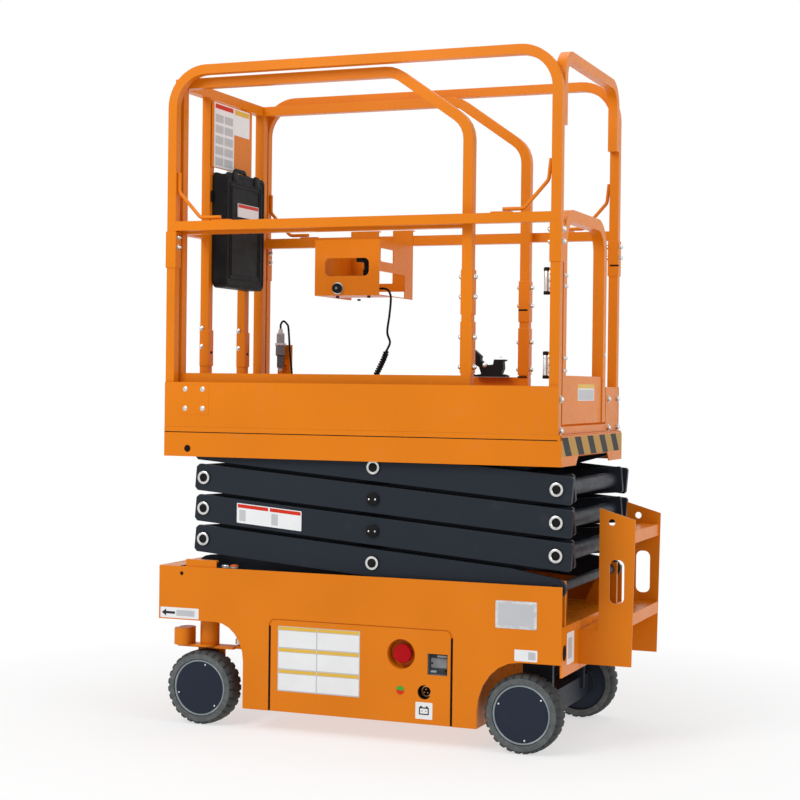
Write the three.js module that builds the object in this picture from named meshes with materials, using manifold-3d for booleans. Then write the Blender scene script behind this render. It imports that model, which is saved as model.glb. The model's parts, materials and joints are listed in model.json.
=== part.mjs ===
// Self-propelled electric scissor lift with a fixed main platform, a roll-out deck
// extension and folding guardrails. Millimetres, +Z up, the ladder end towards +X and the
// steered wheels towards -X. The origin is on the floor under the middle of the machine.
import * as THREE from 'three';
import * as BufferGeometryUtils from 'three/addons/utils/BufferGeometryUtils.js';
import Module from 'manifold-3d';

const wasm = await Module();
wasm.setup();

// ---------------------------------------------------------------- driving dimensions
const CHASSIS_LENGTH = 1418;
const LADDER_DEPTH = 180;
const WIDTH = 760;

const REAR = (CHASSIS_LENGTH + LADDER_DEPTH) / 2 - LADDER_DEPTH;
const FRONT = REAR - CHASSIS_LENGTH;
const HALF_WIDTH = WIDTH / 2;
const FIT = 0.3;              // gap between faces that touch
const RUN = 1;                // radial gap of a pin in its bore

// wheels and axles
const TYRE_RADIUS = 125;
const TYRE_WIDTH = 80;
const HUB_RADIUS = 96;
const WHEEL_INSET = 5;        // tyre side behind the chassis side
const REAR_WHEEL_X = REAR - 130;
const WHEELBASE = 1134;
const FRONT_WHEEL_X = REAR_WHEEL_X - WHEELBASE;
const WHEEL_OUT = HALF_WIDTH - WHEEL_INSET;
const WHEEL_IN = WHEEL_OUT - TYRE_WIDTH;
const WHEEL_MID = (WHEEL_OUT + WHEEL_IN) / 2;
const SPINDLE_RADIUS = 16;
const SPINDLE_GAP = 6;        // wheel to the plate that carries it
const KINGPIN_Y = WHEEL_IN + 5;
const KINGPIN_RADIUS = 20;
const YOKE_PLATE = 8;
const YOKE_LENGTH = 210;
const STEER_ARM = 112;        // kingpin to tie rod, towards the rear
const TIE_ROD_RADIUS = 8;
const AXLE_BEAM = 76;

// chassis
const SIDE_PLATE = 6;
const CLEARANCE = 70;         // floor to the underside of the skirts
const SIDE_TOP = 533;
const FRONT_SKIRT_Z = 352;
const REAR_SKIRT_Z = 290;
const SKIRT_FRONT_X = REAR - 1098;
const SKIRT_REAR_X = REAR - 275;
const FRONT_ARCH = [107, 127];   // corner of the front arch, along and up
const REAR_ARCH = 140;        // corner of the rear arch, along the machine
const ARCH_STEPS = 6;
const WELL_Z = 400;           // floor of the well that the folded arms lie in
const WELL_PLATE = 6;
const FRONT_SHELF = 73;       // cover over the front end
const DOOR_FRONT_X = REAR - 1004;
const DOOR_REAR_X = REAR - 356;
const DOOR_BOTTOM = CLEARANCE + 1;
const DOOR_TOP = 376;
const DOOR_PLATE = 3;
const DOOR_GAP = 3;           // over the door
const DOOR_SIDE_GAP = 8;
const DOOR_CORNER = 22;
const DOOR_LIP = 12;          // flange that the closed door rests on
const BATTERY = [480, 230, 250];

// scissor stack
const STAGES = 4;
const PIN_SPAN = 1235;        // rear pins to front pins, along the machine, folded
const PITCH = 103.5;          // from one row of pins to the next, folded
const PIN_REAR_X = REAR - 28;
const PIN_FRONT_X = PIN_REAR_X - PIN_SPAN;
const PIN_LOW_Z = 523.5;
const ARM_LENGTH = Math.hypot(PIN_SPAN, PITCH);
const ARM_REST = Math.atan2(PITCH, PIN_SPAN);
const ARM_HEIGHT = 90;
const ARM_WALL = 18;          // thickness of a bar
const ARM_SIDE_GAP = 18;      // chassis side to an outer bar
const ARM_PAIR_GAP = 28;      // outer bar to inner bar
const OUTER_ARM_Y = HALF_WIDTH - SIDE_PLATE - ARM_SIDE_GAP;   // outer face of an outer bar
const INNER_ARM_Y = OUTER_ARM_Y - ARM_WALL - ARM_PAIR_GAP;    // outer face of an inner bar
const FRONT_OVERHANG = 32;
const REAR_OVERHANG = 50;
const LOWEST_END = 32;        // rounded end of the lowest bar
const SHAFT_RADIUS = 16;
const SLEEVE_RADIUS = 27;
const PIN_HEAD_RADIUS = 24;
const PIN_HEAD = 5;
const PIN_HEAD_BORE = 14;
const ROLLER_RADIUS = 22;
const ROLLER_WIDTH = 13;
const TOP_PIN_RADIUS = 8;     // pin that ties the top stage to the platform
const TOP_BOSS_RADIUS = 15;
const TOP_TAPER = 150;

// lift cylinder
const CYLINDER_BASE_BACK = 102;   // in front of the rear pins
const CYLINDER_BASE_DROP = 54.4;  // under the rear pins
const ROD_EYE_ALONG = 642.8;      // along the lowest inner bar, from its roller
const ROD_EYE_UP = 12.6;
const BARREL_RADIUS = 34;
const BARREL_LENGTH = 330;
const ROD_RADIUS = 22;
const EYE_RADIUS = 26;
const EYE_WIDTH = 40;

// platform
const PLATFORM_FRONT = FRONT + 13;
const PLATFORM_REAR = REAR - 8;
const DECK_OVER_PIN = 67.5;   // deck floor over the top row of pins
const DECK_Z = PIN_LOW_Z + STAGES * PITCH + DECK_OVER_PIN;
const CHANNEL_BOTTOM = DECK_Z - 100;
const CHANNEL_TOP = DECK_Z - 18;
const CHANNEL_PLATE = 5;
const CHANNEL_FLANGE = 18;
const DECK_PLATE = 4;
const TREAD = 2;              // raised anti-slip sheet of a floor
const TREAD_EDGE = 40;
const TOE_TOP = DECK_Z + 151;
const TOE_PLATE = 3;
const END_FOOT = 165;
const END_RECESS_Z = DECK_Z - 67;

// guardrails
const RAIL = 32;              // square tube
const RAIL_INSET = 6;         // side rails behind the platform's side
const RAIL_Y = HALF_WIDTH - RAIL_INSET;   // outer face of the side rails
const RAIL_FRONT = FRONT + 12;
const RAIL_REAR = REAR - 21;
const RAIL_TOP = DECK_Z + 1221;
const MID_BOTTOM = DECK_Z + 663;
const RAIL_BEND = 140;
const SLEEVE = 3;             // wall of the sleeves that join the folding posts
const SLEEVE_Z = [DECK_Z + 538, DECK_Z + 661];

// rear hoop, gate and kick plate
const HOOP_BOTTOM = DECK_Z + 969;
const HOOP_TOP = RAIL_TOP - 12;
const HOOP_BEND = 90;
const GATE_TUBE = 38;
const GATE_GAP = 10;          // near stile to the post that it hangs on
const GATE_WIDTH = 528;
const GATE_TOP = DECK_Z + 712;
const GATE_BOTTOM = DECK_Z + 31;
const GATE_BEND = 110;
const GATE_PANEL_TOP = DECK_Z + 185;
const GATE_PANEL = 4;
const KICK_PLATE = 3;
const SILL_TOP = DECK_Z + 25;

// extension deck and its rails
const EXT_SIDE_GAP = 12;      // extension deck to the guardrail posts
const EXT_EDGE = RAIL_Y - RAIL - EXT_SIDE_GAP;   // outer face of the extension deck
const EXT_TOE = 3;
const EXT_Y = EXT_EDGE - EXT_TOE - FIT;   // outer face of the extension rails
const EXT_RAIL = 34;
const EXT_FRONT = FRONT + 8;
const EXT_REAR = REAR - 327;
const EXT_DECK_Z = DECK_Z + 13;
const EXT_DECK_PLATE = 4;
const EXT_RUNNER_Y = 250;
const EXT_TOE_TOP = DECK_Z + 182;
const EXT_TOP = DECK_Z + 1185;
const EXT_SLOPE_X = 270;
const EXT_SLOPE_Z = 190;
const EXT_BEND = 110;
const EXT_SLEEVE_Z = [[DECK_Z + 190, DECK_Z + 355], [DECK_Z + 377, DECK_Z + 521]];
const FRONT_SLEEVE_Z = [DECK_Z + 209, DECK_Z + 335];
const FRONT_POST_Y = [-115, 172];
const FRONT_POST = 32;

// ---------------------------------------------------------------- colours
const paint = (color, roughness, metalness = 0) =>
  new THREE.MeshStandardMaterial({ color, roughness, metalness });
const ORANGE = paint(0xd9780f, 0.42);
const CHARCOAL = paint(0x23282f, 0.5);
const STEEL = paint(0xa9adb0, 0.35, 0.9);
const RUBBER = paint(0x5f696d, 0.85);
const NAVY = paint(0x232a37, 0.5);
const BLACK = paint(0x1b1c1e, 0.55);
const GREY = paint(0x9aa0a4, 0.55);
const RED = paint(0xb81c1c, 0.4);
const SILVER = paint(0xc4c7c9, 0.4, 0.6);

// ---------------------------------------------------------------- solids
const X = new THREE.Vector3(1, 0, 0);
const Y = new THREE.Vector3(0, 1, 0);
const Z = new THREE.Vector3(0, 0, 1);

function solid(geometry) {
  const bare = geometry.index ? geometry.toNonIndexed() : geometry.clone();
  bare.deleteAttribute('normal');
  bare.deleteAttribute('uv');
  const merged = BufferGeometryUtils.mergeVertices(bare, 1e-4);
  return new wasm.Manifold(new wasm.Mesh({
    numProp: 3,
    vertProperties: new Float32Array(merged.attributes.position.array),
    triVerts: new Uint32Array(merged.index.array),
  }));
}

const join = (...parts) => parts.flat().reduce((sum, part) => sum.add(part));
const cut = (body, ...tools) => tools.flat().reduce((left, tool) => left.subtract(tool), body);

function box(x, y, z) {
  const shape = new THREE.BoxGeometry(x[1] - x[0], y[1] - y[0], z[1] - z[0]);
  return solid(shape.translate((x[0] + x[1]) / 2, (y[0] + y[1]) / 2, (z[0] + z[1]) / 2));
}

// Plane of a flat outline, as [outline right, outline up, direction it is extruded in].
const SIDE_VIEW = new THREE.Matrix4().makeBasis(X, Z, new THREE.Vector3(0, -1, 0));
const END_VIEW = new THREE.Matrix4().makeBasis(Y, Z, X);
const TOP_VIEW = new THREE.Matrix4().makeBasis(X, Y, Z);

function plate(outline, view, from, to, curveSegments = 6) {
  const shape = new THREE.ExtrudeGeometry(outline, { depth: to - from, bevelEnabled: false, curveSegments });
  shape.applyMatrix4(view);
  if (view === SIDE_VIEW) shape.translate(0, to, 0);
  if (view === END_VIEW) shape.translate(from, 0, 0);
  if (view === TOP_VIEW) shape.translate(0, 0, from);
  return solid(shape);
}

// Round bar of radius r along an axis, centred on p in the other two directions.
function round(axis, r, from, to, p, sides = 16) {
  const shape = new THREE.CylinderGeometry(r, r, to - from, sides);
  const middle = (from + to) / 2;
  if (axis === X) shape.rotateZ(-Math.PI / 2).translate(middle, p[0], p[1]);
  if (axis === Y) shape.translate(p[0], middle, p[1]);
  if (axis === Z) shape.rotateX(Math.PI / 2).translate(p[0], p[1], middle);
  return solid(shape);
}

function polygon(points) {
  return new THREE.Shape(points.map(([u, v]) => new THREE.Vector2(u, v)));
}

// Rectangle with its own radius at each corner: lower left, lower right, upper right, upper left.
function rectangle(u0, v0, u1, v1, [ll, lr, ur, ul] = [0, 0, 0, 0], Kind = THREE.Shape) {
  const path = new Kind();
  const turn = Math.PI / 2;
  path.moveTo(u0 + ll, v0);
  path.lineTo(u1 - lr, v0);
  if (lr) path.absarc(u1 - lr, v0 + lr, lr, -turn, 0, false);
  path.lineTo(u1, v1 - ur);
  if (ur) path.absarc(u1 - ur, v1 - ur, ur, 0, turn, false);
  path.lineTo(u0 + ul, v1);
  if (ul) path.absarc(u0 + ul, v1 - ul, ul, turn, 2 * turn, false);
  path.lineTo(u0, v0 + ll);
  if (ll) path.absarc(u0 + ll, v0 + ll, ll, 2 * turn, 3 * turn, false);
  return path;
}

// Bent tube frame of two posts under a top rail, open below, with rounded top corners.
function arch(u0, u1, bottom, top, tube, bends) {
  const outer = rectangle(u0, bottom, u1, top, [0, 0, bends[1], bends[0]]);
  const inside = bends.map((bend) => Math.max(bend - tube, 1));
  const drop = 10;
  return [outer, rectangle(u0 + tube, bottom - drop, u1 - tube, top - tube,
    [0, 0, inside[1], inside[0]])];
}

function archSolid(view, from, to, u0, u1, bottom, top, tube, bends) {
  const [outer, inner] = arch(u0, u1, bottom, top, tube, bends);
  return cut(plate(outer, view, from, to), plate(inner, view, from - 1, to + 1));
}

// Outline whose corners [u, v, radius] are rounded where a radius is given.
function bent(corners) {
  const points = [];
  corners.forEach(([u, v, radius = 0], i) => {
    const here = new THREE.Vector2(u, v);
    if (!radius) {
      points.push([u, v]);
      return;
    }
    const back = new THREE.Vector2(...corners.at(i - 1)).sub(here).normalize();
    const on = new THREE.Vector2(...corners[(i + 1) % corners.length]).sub(here).normalize();
    const half = Math.acos(back.dot(on)) / 2;
    const middle = back.clone().add(on).normalize().multiplyScalar(radius / Math.sin(half)).add(here);
    const start = back.multiplyScalar(radius / Math.tan(half)).add(here).sub(middle);
    const end = on.multiplyScalar(radius / Math.tan(half)).add(here).sub(middle);
    const turn = Math.atan2(start.cross(end), start.dot(end));
    const steps = Math.max(2, Math.round(Math.abs(turn) / 0.22));
    for (let k = 0; k <= steps; k += 1) {
      const p = start.clone().rotateAround(new THREE.Vector2(), turn * k / steps).add(middle);
      points.push([p.x, p.y]);
    }
  });
  return polygon(points);
}

// Round bar along a smooth curve through the points.
function tube(points, radius, steps, sides = 8) {
  const section = new THREE.Shape();
  for (let k = 0; k < sides; k += 1) {
    const a = 2 * Math.PI * k / sides;
    section[k ? 'lineTo' : 'moveTo'](radius * Math.cos(a), radius * Math.sin(a));
  }
  const curve = new THREE.CatmullRomCurve3(points.map((p) => new THREE.Vector3(...p)));
  return solid(new THREE.ExtrudeGeometry(section, { steps, extrudePath: curve, bevelEnabled: false }));
}

const group = new THREE.Group();

function add(name, body, material, position = [0, 0, 0], turnY = 0) {
  const data = body.getMesh();
  const geometry = new THREE.BufferGeometry();
  geometry.setAttribute('position', new THREE.BufferAttribute(data.vertProperties, 3));
  geometry.setIndex(new THREE.BufferAttribute(data.triVerts, 1));
  geometry.computeVertexNormals();
  const mesh = new THREE.Mesh(geometry, material);
  mesh.name = name;
  mesh.position.set(...position);
  mesh.rotation.y = turnY;
  group.add(mesh);
}

const SIDES = { near: -1, far: 1 };
const across = (side, a, b) => (side < 0 ? [-b, -a] : [a, b]);

// ---------------------------------------------------------------- chassis
// Corner of an arch: the quarter of an ellipse about [x, z] from one angle to another.
function quarter([x, z], [reachX, reachZ], from, to) {
  return Array.from({ length: ARCH_STEPS + 1 }, (_, k) => {
    const t = (from + (to - from) * k / ARCH_STEPS) * Math.PI / 180;
    return [x + reachX * Math.cos(t), z + reachZ * Math.sin(t)];
  });
}

function sideOutline() {
  const frontArch = [SKIRT_FRONT_X - FRONT_ARCH[0], FRONT_SKIRT_Z - FRONT_ARCH[1]];
  const rearArch = [SKIRT_REAR_X + REAR_ARCH, TYRE_RADIUS];
  return polygon([
    [FRONT, FRONT_SKIRT_Z],
    ...quarter(frontArch, FRONT_ARCH, 90, 0),
    [SKIRT_FRONT_X, CLEARANCE],
    [SKIRT_REAR_X, CLEARANCE],
    ...quarter(rearArch, [REAR_ARCH, REAR_SKIRT_Z - TYRE_RADIUS], 180, 90),
    [REAR, REAR_SKIRT_Z],
    [REAR, SIDE_TOP],
    [FRONT, SIDE_TOP],
  ]);
}

const DOOR_CORNERS = [0, 0, DOOR_CORNER, DOOR_CORNER];
const GUIDE = [FRONT + 99, FRONT + 214];   // bridge over the front rollers
const GUIDE_Z = [SIDE_TOP + 17, SIDE_TOP + 24];

// Side plate with its door opening, the ledge that the front rollers of the lowest stage run
// on, and a bridge over the rollers.
function sidePlate(side) {
  const inner = HALF_WIDTH - SIDE_PLATE;
  const [y0, y1] = across(side, inner, HALF_WIDTH);
  const rebate = rectangle(DOOR_FRONT_X, CLEARANCE - 1, DOOR_REAR_X, DOOR_TOP, DOOR_CORNERS);
  const hole = rectangle(DOOR_FRONT_X + DOOR_LIP, CLEARANCE + WELL_PLATE + DOOR_LIP,
    DOOR_REAR_X - DOOR_LIP, DOOR_TOP - DOOR_LIP, DOOR_CORNERS);
  const face = across(side, HALF_WIDTH - DOOR_PLATE - FIT, HALF_WIDTH + 1);
  const skin = cut(plate(sideOutline(), SIDE_VIEW, y0, y1), plate(hole, SIDE_VIEW, y0 - 1, y1 + 1),
    plate(rebate, SIDE_VIEW, face[0], face[1]));
  const ledgeTop = PIN_LOW_Z - ROLLER_RADIUS - FIT;
  return join(skin,
    box([PIN_FRONT_X - 50, PIN_FRONT_X + 560], across(side, OUTER_ARM_Y + 4, inner + 1),
      [ledgeTop - 8, ledgeTop]),
    box(GUIDE, across(side, inner - 3, inner + 1), [SIDE_TOP - 20, GUIDE_Z[1]]),
    box(GUIDE, across(side, OUTER_ARM_Y + 2, inner), GUIDE_Z));
}

// Well floor, ends, tub between the axles, and the lugs of the lowest pins and the cylinder.
function chassisTub() {
  const inner = HALF_WIDTH - SIDE_PLATE - FIT;
  const wide = [-inner, inner];
  const parts = [];
  for (const side of Object.values(SIDES)) {
    const lug = across(side, INNER_ARM_Y + 8, INNER_ARM_Y + 22);
    const shape = polygon([[PIN_REAR_X - 90, WELL_Z], [REAR - 4, WELL_Z],
      [REAR - 4, PIN_LOW_Z + 24], [PIN_REAR_X - 26, PIN_LOW_Z + 24]]);
    parts.push(cut(plate(shape, SIDE_VIEW, lug[0], lug[1]),
      round(Y, SHAFT_RADIUS + RUN, lug[0] - 1, lug[1] + 1, [PIN_REAR_X, PIN_LOW_Z])));
  }
  parts.push(box([FRONT + 1, REAR - 1], wide, [WELL_Z, WELL_Z + WELL_PLATE]));
  parts.push(box([FRONT, FRONT + SIDE_PLATE], wide, [FRONT_SKIRT_Z, SIDE_TOP]));
  parts.push(box([FRONT, FRONT + FRONT_SHELF], wide, [SIDE_TOP - SIDE_PLATE, SIDE_TOP]));
  parts.push(box([REAR - SIDE_PLATE, REAR], wide, [REAR_SKIRT_Z - 40, WELL_Z + 1]));
  parts.push(box([SKIRT_FRONT_X, SKIRT_REAR_X], wide, [CLEARANCE, CLEARANCE + WELL_PLATE]));
  parts.push(box([SKIRT_FRONT_X, SKIRT_FRONT_X + SIDE_PLATE], wide, [CLEARANCE, WELL_Z + 1]));
  parts.push(box([SKIRT_REAR_X - SIDE_PLATE, SKIRT_REAR_X], wide, [CLEARANCE, WELL_Z + 1]));
  const base = [PIN_REAR_X - CYLINDER_BASE_BACK, PIN_LOW_Z - CYLINDER_BASE_DROP];
  for (const side of Object.values(SIDES)) {
    const lug = across(side, EYE_WIDTH / 2 + 4, EYE_WIDTH / 2 + 14);
    const shape = rectangle(base[0] - 30, WELL_Z, base[0] + 30, base[1] + 30, [0, 0, 28, 28]);
    parts.push(plate(shape, SIDE_VIEW, lug[0], lug[1]));
  }
  parts.push(round(Y, 14, -EYE_WIDTH / 2 - 16, EYE_WIDTH / 2 + 16, base));
  return join(parts);
}

add('chassis_tub', chassisTub(), ORANGE);
for (const [name, side] of Object.entries(SIDES)) {
  add(`${name}_side_plate`, sidePlate(side), ORANGE);
}

const tub = (SKIRT_FRONT_X + SKIRT_REAR_X) / 2;
add('battery_pack', box([tub - BATTERY[0] / 2, tub + BATTERY[0] / 2],
  [-BATTERY[1] / 2, BATTERY[1] / 2],
  [CLEARANCE + WELL_PLATE + FIT, CLEARANCE + WELL_PLATE + FIT + BATTERY[2]]), BLACK);

// controls in the near door, as [x, z]
const STOP = [DOOR_REAR_X - 177, 290];
const STOP_HOLE = 48;
const STOP_DEPTH = 44;
const STOP_BUTTON = 31;
const CHARGER = [DOOR_REAR_X - 96, 173];
const CHARGER_HOLE = 23;
const DISPLAY_X = [DOOR_REAR_X - 86, DOOR_REAR_X - 18];
const DISPLAY_Z = [230, 298];
const CUP_WALL = 3;
const DOOR_INSIDE = HALF_WIDTH - DOOR_PLATE;

function doorSkin(side) {
  const [y0, y1] = across(side, DOOR_INSIDE, HALF_WIDTH);
  const outline = rectangle(DOOR_FRONT_X + DOOR_SIDE_GAP, DOOR_BOTTOM,
    DOOR_REAR_X - DOOR_SIDE_GAP, DOOR_TOP - DOOR_GAP,
    [0, 0, DOOR_CORNER - DOOR_GAP, DOOR_CORNER - DOOR_GAP]);
  const skin = plate(outline, SIDE_VIEW, y0, y1);
  if (side > 0) return skin;
  return cut(skin, round(Y, STOP_HOLE, y0 - 1, y1 + 1, STOP, 28),
    round(Y, CHARGER_HOLE, y0 - 1, y1 + 1, CHARGER, 20),
    box(DISPLAY_X, [y0 - 1, y1 + 1], DISPLAY_Z));
}

// Round cup behind the door, open towards the door.
function cup(at, radius, depth, sides) {
  const front = -DOOR_INSIDE + FIT;
  return cut(round(Y, radius + CUP_WALL, front, front + depth, at, sides),
    round(Y, radius, front - 1, front + depth - CUP_WALL, at, sides));
}

for (const [name, side] of Object.entries(SIDES)) {
  add(`${name}_tray_door`, doorSkin(side), ORANGE);
}
add('stop_recess', cup(STOP, STOP_HOLE, STOP_DEPTH, 28), ORANGE);
const stopBase = -DOOR_INSIDE + STOP_DEPTH - CUP_WALL;
add('stop_button', join(round(Y, STOP_BUTTON, stopBase - 34, stopBase - 20, STOP, 28),
  round(Y, STOP_BUTTON - 12, stopBase - 21, stopBase, STOP, 20)), RED);
add('charger_socket', cup(CHARGER, CHARGER_HOLE, 30, 20), BLACK);
const frame = 4;
add('charge_display', cut(
  box([DISPLAY_X[0] - frame, DISPLAY_X[1] + frame], [-DOOR_INSIDE + FIT, -DOOR_INSIDE + 24],
    [DISPLAY_Z[0] - frame, DISPLAY_Z[1] + frame]),
  box(DISPLAY_X, [-DOOR_INSIDE, -DOOR_INSIDE + 14], DISPLAY_Z)), GREY);

// ladder on the rear end: two cheek plates with hand slots, and treads between them
const LADDER_Y = 180;
const LADDER_PLATE = 5;
const LADDER_TOP = [769, 735];
const LADDER_BOTTOM = 268;
const LADDER_FOOT = 378;
const LADDER_BACK = REAR + LADDER_DEPTH;
const LADDER_FACE = LADDER_BACK - 116;
const TREAD_Z = [400, 660];
const TREAD_HEIGHT = 38;

function ladder() {
  const parts = [];
  for (const side of Object.values(SIDES)) {
    const y = across(side, LADDER_Y - LADDER_PLATE, LADDER_Y);
    const cheek = polygon([[REAR + FIT, LADDER_BOTTOM], [LADDER_BACK - 8, LADDER_BOTTOM],
      [LADDER_BACK, LADDER_TOP[1]], [LADDER_FACE, LADDER_TOP[0]],
      [LADDER_FACE, LADDER_FOOT], [REAR + FIT, LADDER_FOOT]]);
    parts.push(cut(plate(cheek, SIDE_VIEW, y[0], y[1]),
      round(Y, 11, y[0] - 1, y[1] + 1, [LADDER_FACE + 40, LADDER_TOP[0] - 44]),
      plate(rectangle(LADDER_FACE + 34, 466, LADDER_FACE + 82, 606, [20, 20, 20, 20]),
        SIDE_VIEW, y[0] - 1, y[1] + 1)));
  }
  for (const z of TREAD_Z) {
    parts.push(box([LADDER_FACE + 40, LADDER_BACK - 6], [-LADDER_Y + 1, LADDER_Y - 1],
      [z, z + TREAD_HEIGHT]));
  }
  parts.push(box([REAR + FIT, REAR + FIT + 5], [-LADDER_Y + 1, LADDER_Y - 1],
    [LADDER_BOTTOM, LADDER_FOOT]));
  return join(parts);
}

add('ladder', ladder(), ORANGE);

// ---------------------------------------------------------------- running gear
function rearAxle() {
  const beam = [-WHEEL_IN + SPINDLE_GAP + 10, WHEEL_IN - SPINDLE_GAP - 10];
  const parts = [box([REAR_WHEEL_X - AXLE_BEAM / 2, REAR_WHEEL_X + AXLE_BEAM / 2], beam,
    [TYRE_RADIUS - AXLE_BEAM / 2, TYRE_RADIUS + AXLE_BEAM / 2])];
  for (const side of Object.values(SIDES)) {
    const hanger = across(side, 180, 200);
    parts.push(box([REAR_WHEEL_X - 50, REAR_WHEEL_X + 50], hanger, [TYRE_RADIUS, WELL_Z - FIT]));
    const drum = across(side, beam[1] - 1, WHEEL_IN - SPINDLE_GAP);
    parts.push(round(Y, 62, drum[0], drum[1], [REAR_WHEEL_X, TYRE_RADIUS], 32));
    const spindle = across(side, beam[1] - 1, WHEEL_OUT - 14);
    parts.push(round(Y, SPINDLE_RADIUS, spindle[0], spindle[1], [REAR_WHEEL_X, TYRE_RADIUS]));
  }
  return join(parts);
}

const YOKE_Z = TYRE_RADIUS * 2 + 5;
const YOKE_TOP = YOKE_Z + YOKE_PLATE;
const BUSH_RADIUS = 33;
const TIE_ROD_Z = YOKE_TOP + 16;
const STEER_BOSS = 29;

function frontAxle() {
  const parts = [box([FRONT_WHEEL_X - 40, FRONT_WHEEL_X + 40], [-KINGPIN_Y, KINGPIN_Y],
    [WELL_Z - 50, WELL_Z - FIT])];
  for (const side of Object.values(SIDES)) {
    const y = side * KINGPIN_Y;
    parts.push(round(Z, BUSH_RADIUS, YOKE_TOP + FIT, WELL_Z - FIT, [FRONT_WHEEL_X, y], 32));
  }
  const bores = Object.values(SIDES).map((side) =>
    round(Z, KINGPIN_RADIUS + RUN, YOKE_TOP - 5, WELL_Z - 40, [FRONT_WHEEL_X, side * KINGPIN_Y]));
  return cut(join(parts), bores);
}

function knuckle(side) {
  const y = side * KINGPIN_Y;
  const hanger = across(side, WHEEL_IN - SPINDLE_GAP - 10, WHEEL_IN - SPINDLE_GAP);
  const top = across(side, WHEEL_IN - SPINDLE_GAP - 10, KINGPIN_Y + 34);
  const parts = [
    box([FRONT_WHEEL_X - YOKE_LENGTH / 2, FRONT_WHEEL_X + YOKE_LENGTH / 2], top, [YOKE_Z, YOKE_TOP]),
    round(Z, KINGPIN_RADIUS, YOKE_TOP - 1, WELL_Z - 42, [FRONT_WHEEL_X, y]),
    box([FRONT_WHEEL_X - 50, FRONT_WHEEL_X + 50], hanger, [TYRE_RADIUS - 40, YOKE_TOP]),
    box([FRONT_WHEEL_X + 60, FRONT_WHEEL_X + STEER_ARM + 12], [y - 12, y + 12], [YOKE_Z, YOKE_TOP]),
    round(Z, 6, YOKE_TOP - 1, TIE_ROD_Z + 10, [FRONT_WHEEL_X + STEER_ARM, y], 12),
    round(Z, STEER_BOSS, YOKE_TOP - 1, YOKE_TOP + 56, [FRONT_WHEEL_X - YOKE_LENGTH / 2 + 20, y], 8),
  ];
  const spindle = across(side, WHEEL_IN - SPINDLE_GAP - 1, WHEEL_OUT - 14);
  parts.push(round(Y, SPINDLE_RADIUS, spindle[0], spindle[1], [FRONT_WHEEL_X, TYRE_RADIUS]));
  const motor = across(side, WHEEL_IN - 100, WHEEL_IN - SPINDLE_GAP - 9);
  parts.push(round(Y, 45, motor[0], motor[1], [FRONT_WHEEL_X, TYRE_RADIUS], 28));
  return join(parts);
}

function tieRod() {
  const x = FRONT_WHEEL_X + STEER_ARM;
  const parts = [round(Y, TIE_ROD_RADIUS, -KINGPIN_Y, KINGPIN_Y, [x, TIE_ROD_Z], 12)];
  for (const side of Object.values(SIDES)) {
    parts.push(round(Z, 13, TIE_ROD_Z - 9, TIE_ROD_Z + 9, [x, side * KINGPIN_Y], 16));
  }
  const bores = Object.values(SIDES).map((side) =>
    round(Z, 6 + RUN, TIE_ROD_Z - 12, TIE_ROD_Z + 12, [x, side * KINGPIN_Y], 12));
  return cut(join(parts), bores);
}

add('rear_axle', rearAxle(), CHARCOAL);
add('front_axle', frontAxle(), ORANGE);
add('near_knuckle', knuckle(-1), ORANGE);
add('far_knuckle', knuckle(1), ORANGE);
add('tie_rod', tieRod(), STEEL);

// Tyre and hub turn about Y; the profiles are [radius, distance from the outer side].
function ring(profile, segments) {
  const points = [...profile, profile[0]].map(([r, v]) => new THREE.Vector2(r, v));
  return solid(new THREE.LatheGeometry(points, segments));
}

function tyre() {
  const w = TYRE_WIDTH / 2;
  return ring([[HUB_RADIUS + FIT, -w + 6], [TYRE_RADIUS - 9, -w], [TYRE_RADIUS, -w + 9],
    [TYRE_RADIUS, w - 9], [TYRE_RADIUS - 9, w], [HUB_RADIUS + FIT, w - 6]], 30);
}

function hub(side) {
  const w = TYRE_WIDTH / 2;
  const bore = SPINDLE_RADIUS + RUN;
  const profile = [[bore, -w], [60, -w], [60, -w + 4], [HUB_RADIUS, -w + 8], [HUB_RADIUS, w - 8],
    [HUB_RADIUS - 8, w - 8], [HUB_RADIUS - 14, w - 14], [40, w - 14], [34, w - 4], [bore, w - 4]];
  return ring(side > 0 ? profile : profile.map(([r, v]) => [r, -v]).reverse(), 30);
}

for (const [end, x] of Object.entries({ rear: REAR_WHEEL_X, front: FRONT_WHEEL_X })) {
  for (const [name, side] of Object.entries(SIDES)) {
    const place = [x, side * WHEEL_MID, TYRE_RADIUS];
    add(`${name}_${end}_tyre`, tyre(), RUBBER, place);
    add(`${name}_${end}_hub`, hub(side), NAVY, place);
  }
}

// ---------------------------------------------------------------- scissor stack
// Outline of one bar from its left pin at (0, 0) to its right pin, with each end square with
// cut corners, round, or tapered to a small boss.
function barOutline(left, right) {
  const h = ARM_HEIGHT / 2;
  const shape = new THREE.Shape();
  if (left.round) {
    shape.moveTo(0, h);
    shape.absarc(0, 0, h, Math.PI / 2, 3 * Math.PI / 2, false);
  } else {
    shape.moveTo(-left.over + left.chamfer, h);
    shape.lineTo(-left.over, h - left.chamfer);
    shape.lineTo(-left.over, -h + left.chamfer);
    shape.lineTo(-left.over + left.chamfer, -h);
  }
  if (right.boss) {
    shape.lineTo(ARM_LENGTH - TOP_TAPER, -h);
    shape.lineTo(ARM_LENGTH, -right.boss);
    shape.absarc(ARM_LENGTH, 0, right.boss, -Math.PI / 2, Math.PI / 2, false);
    shape.lineTo(ARM_LENGTH - TOP_TAPER, h);
  } else {
    shape.lineTo(ARM_LENGTH + right.over - right.chamfer, -h);
    shape.lineTo(ARM_LENGTH + right.over, -h + right.chamfer);
    shape.lineTo(ARM_LENGTH + right.over, h - right.chamfer);
    shape.lineTo(ARM_LENGTH + right.over - right.chamfer, h);
  }
  return shape;
}

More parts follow.
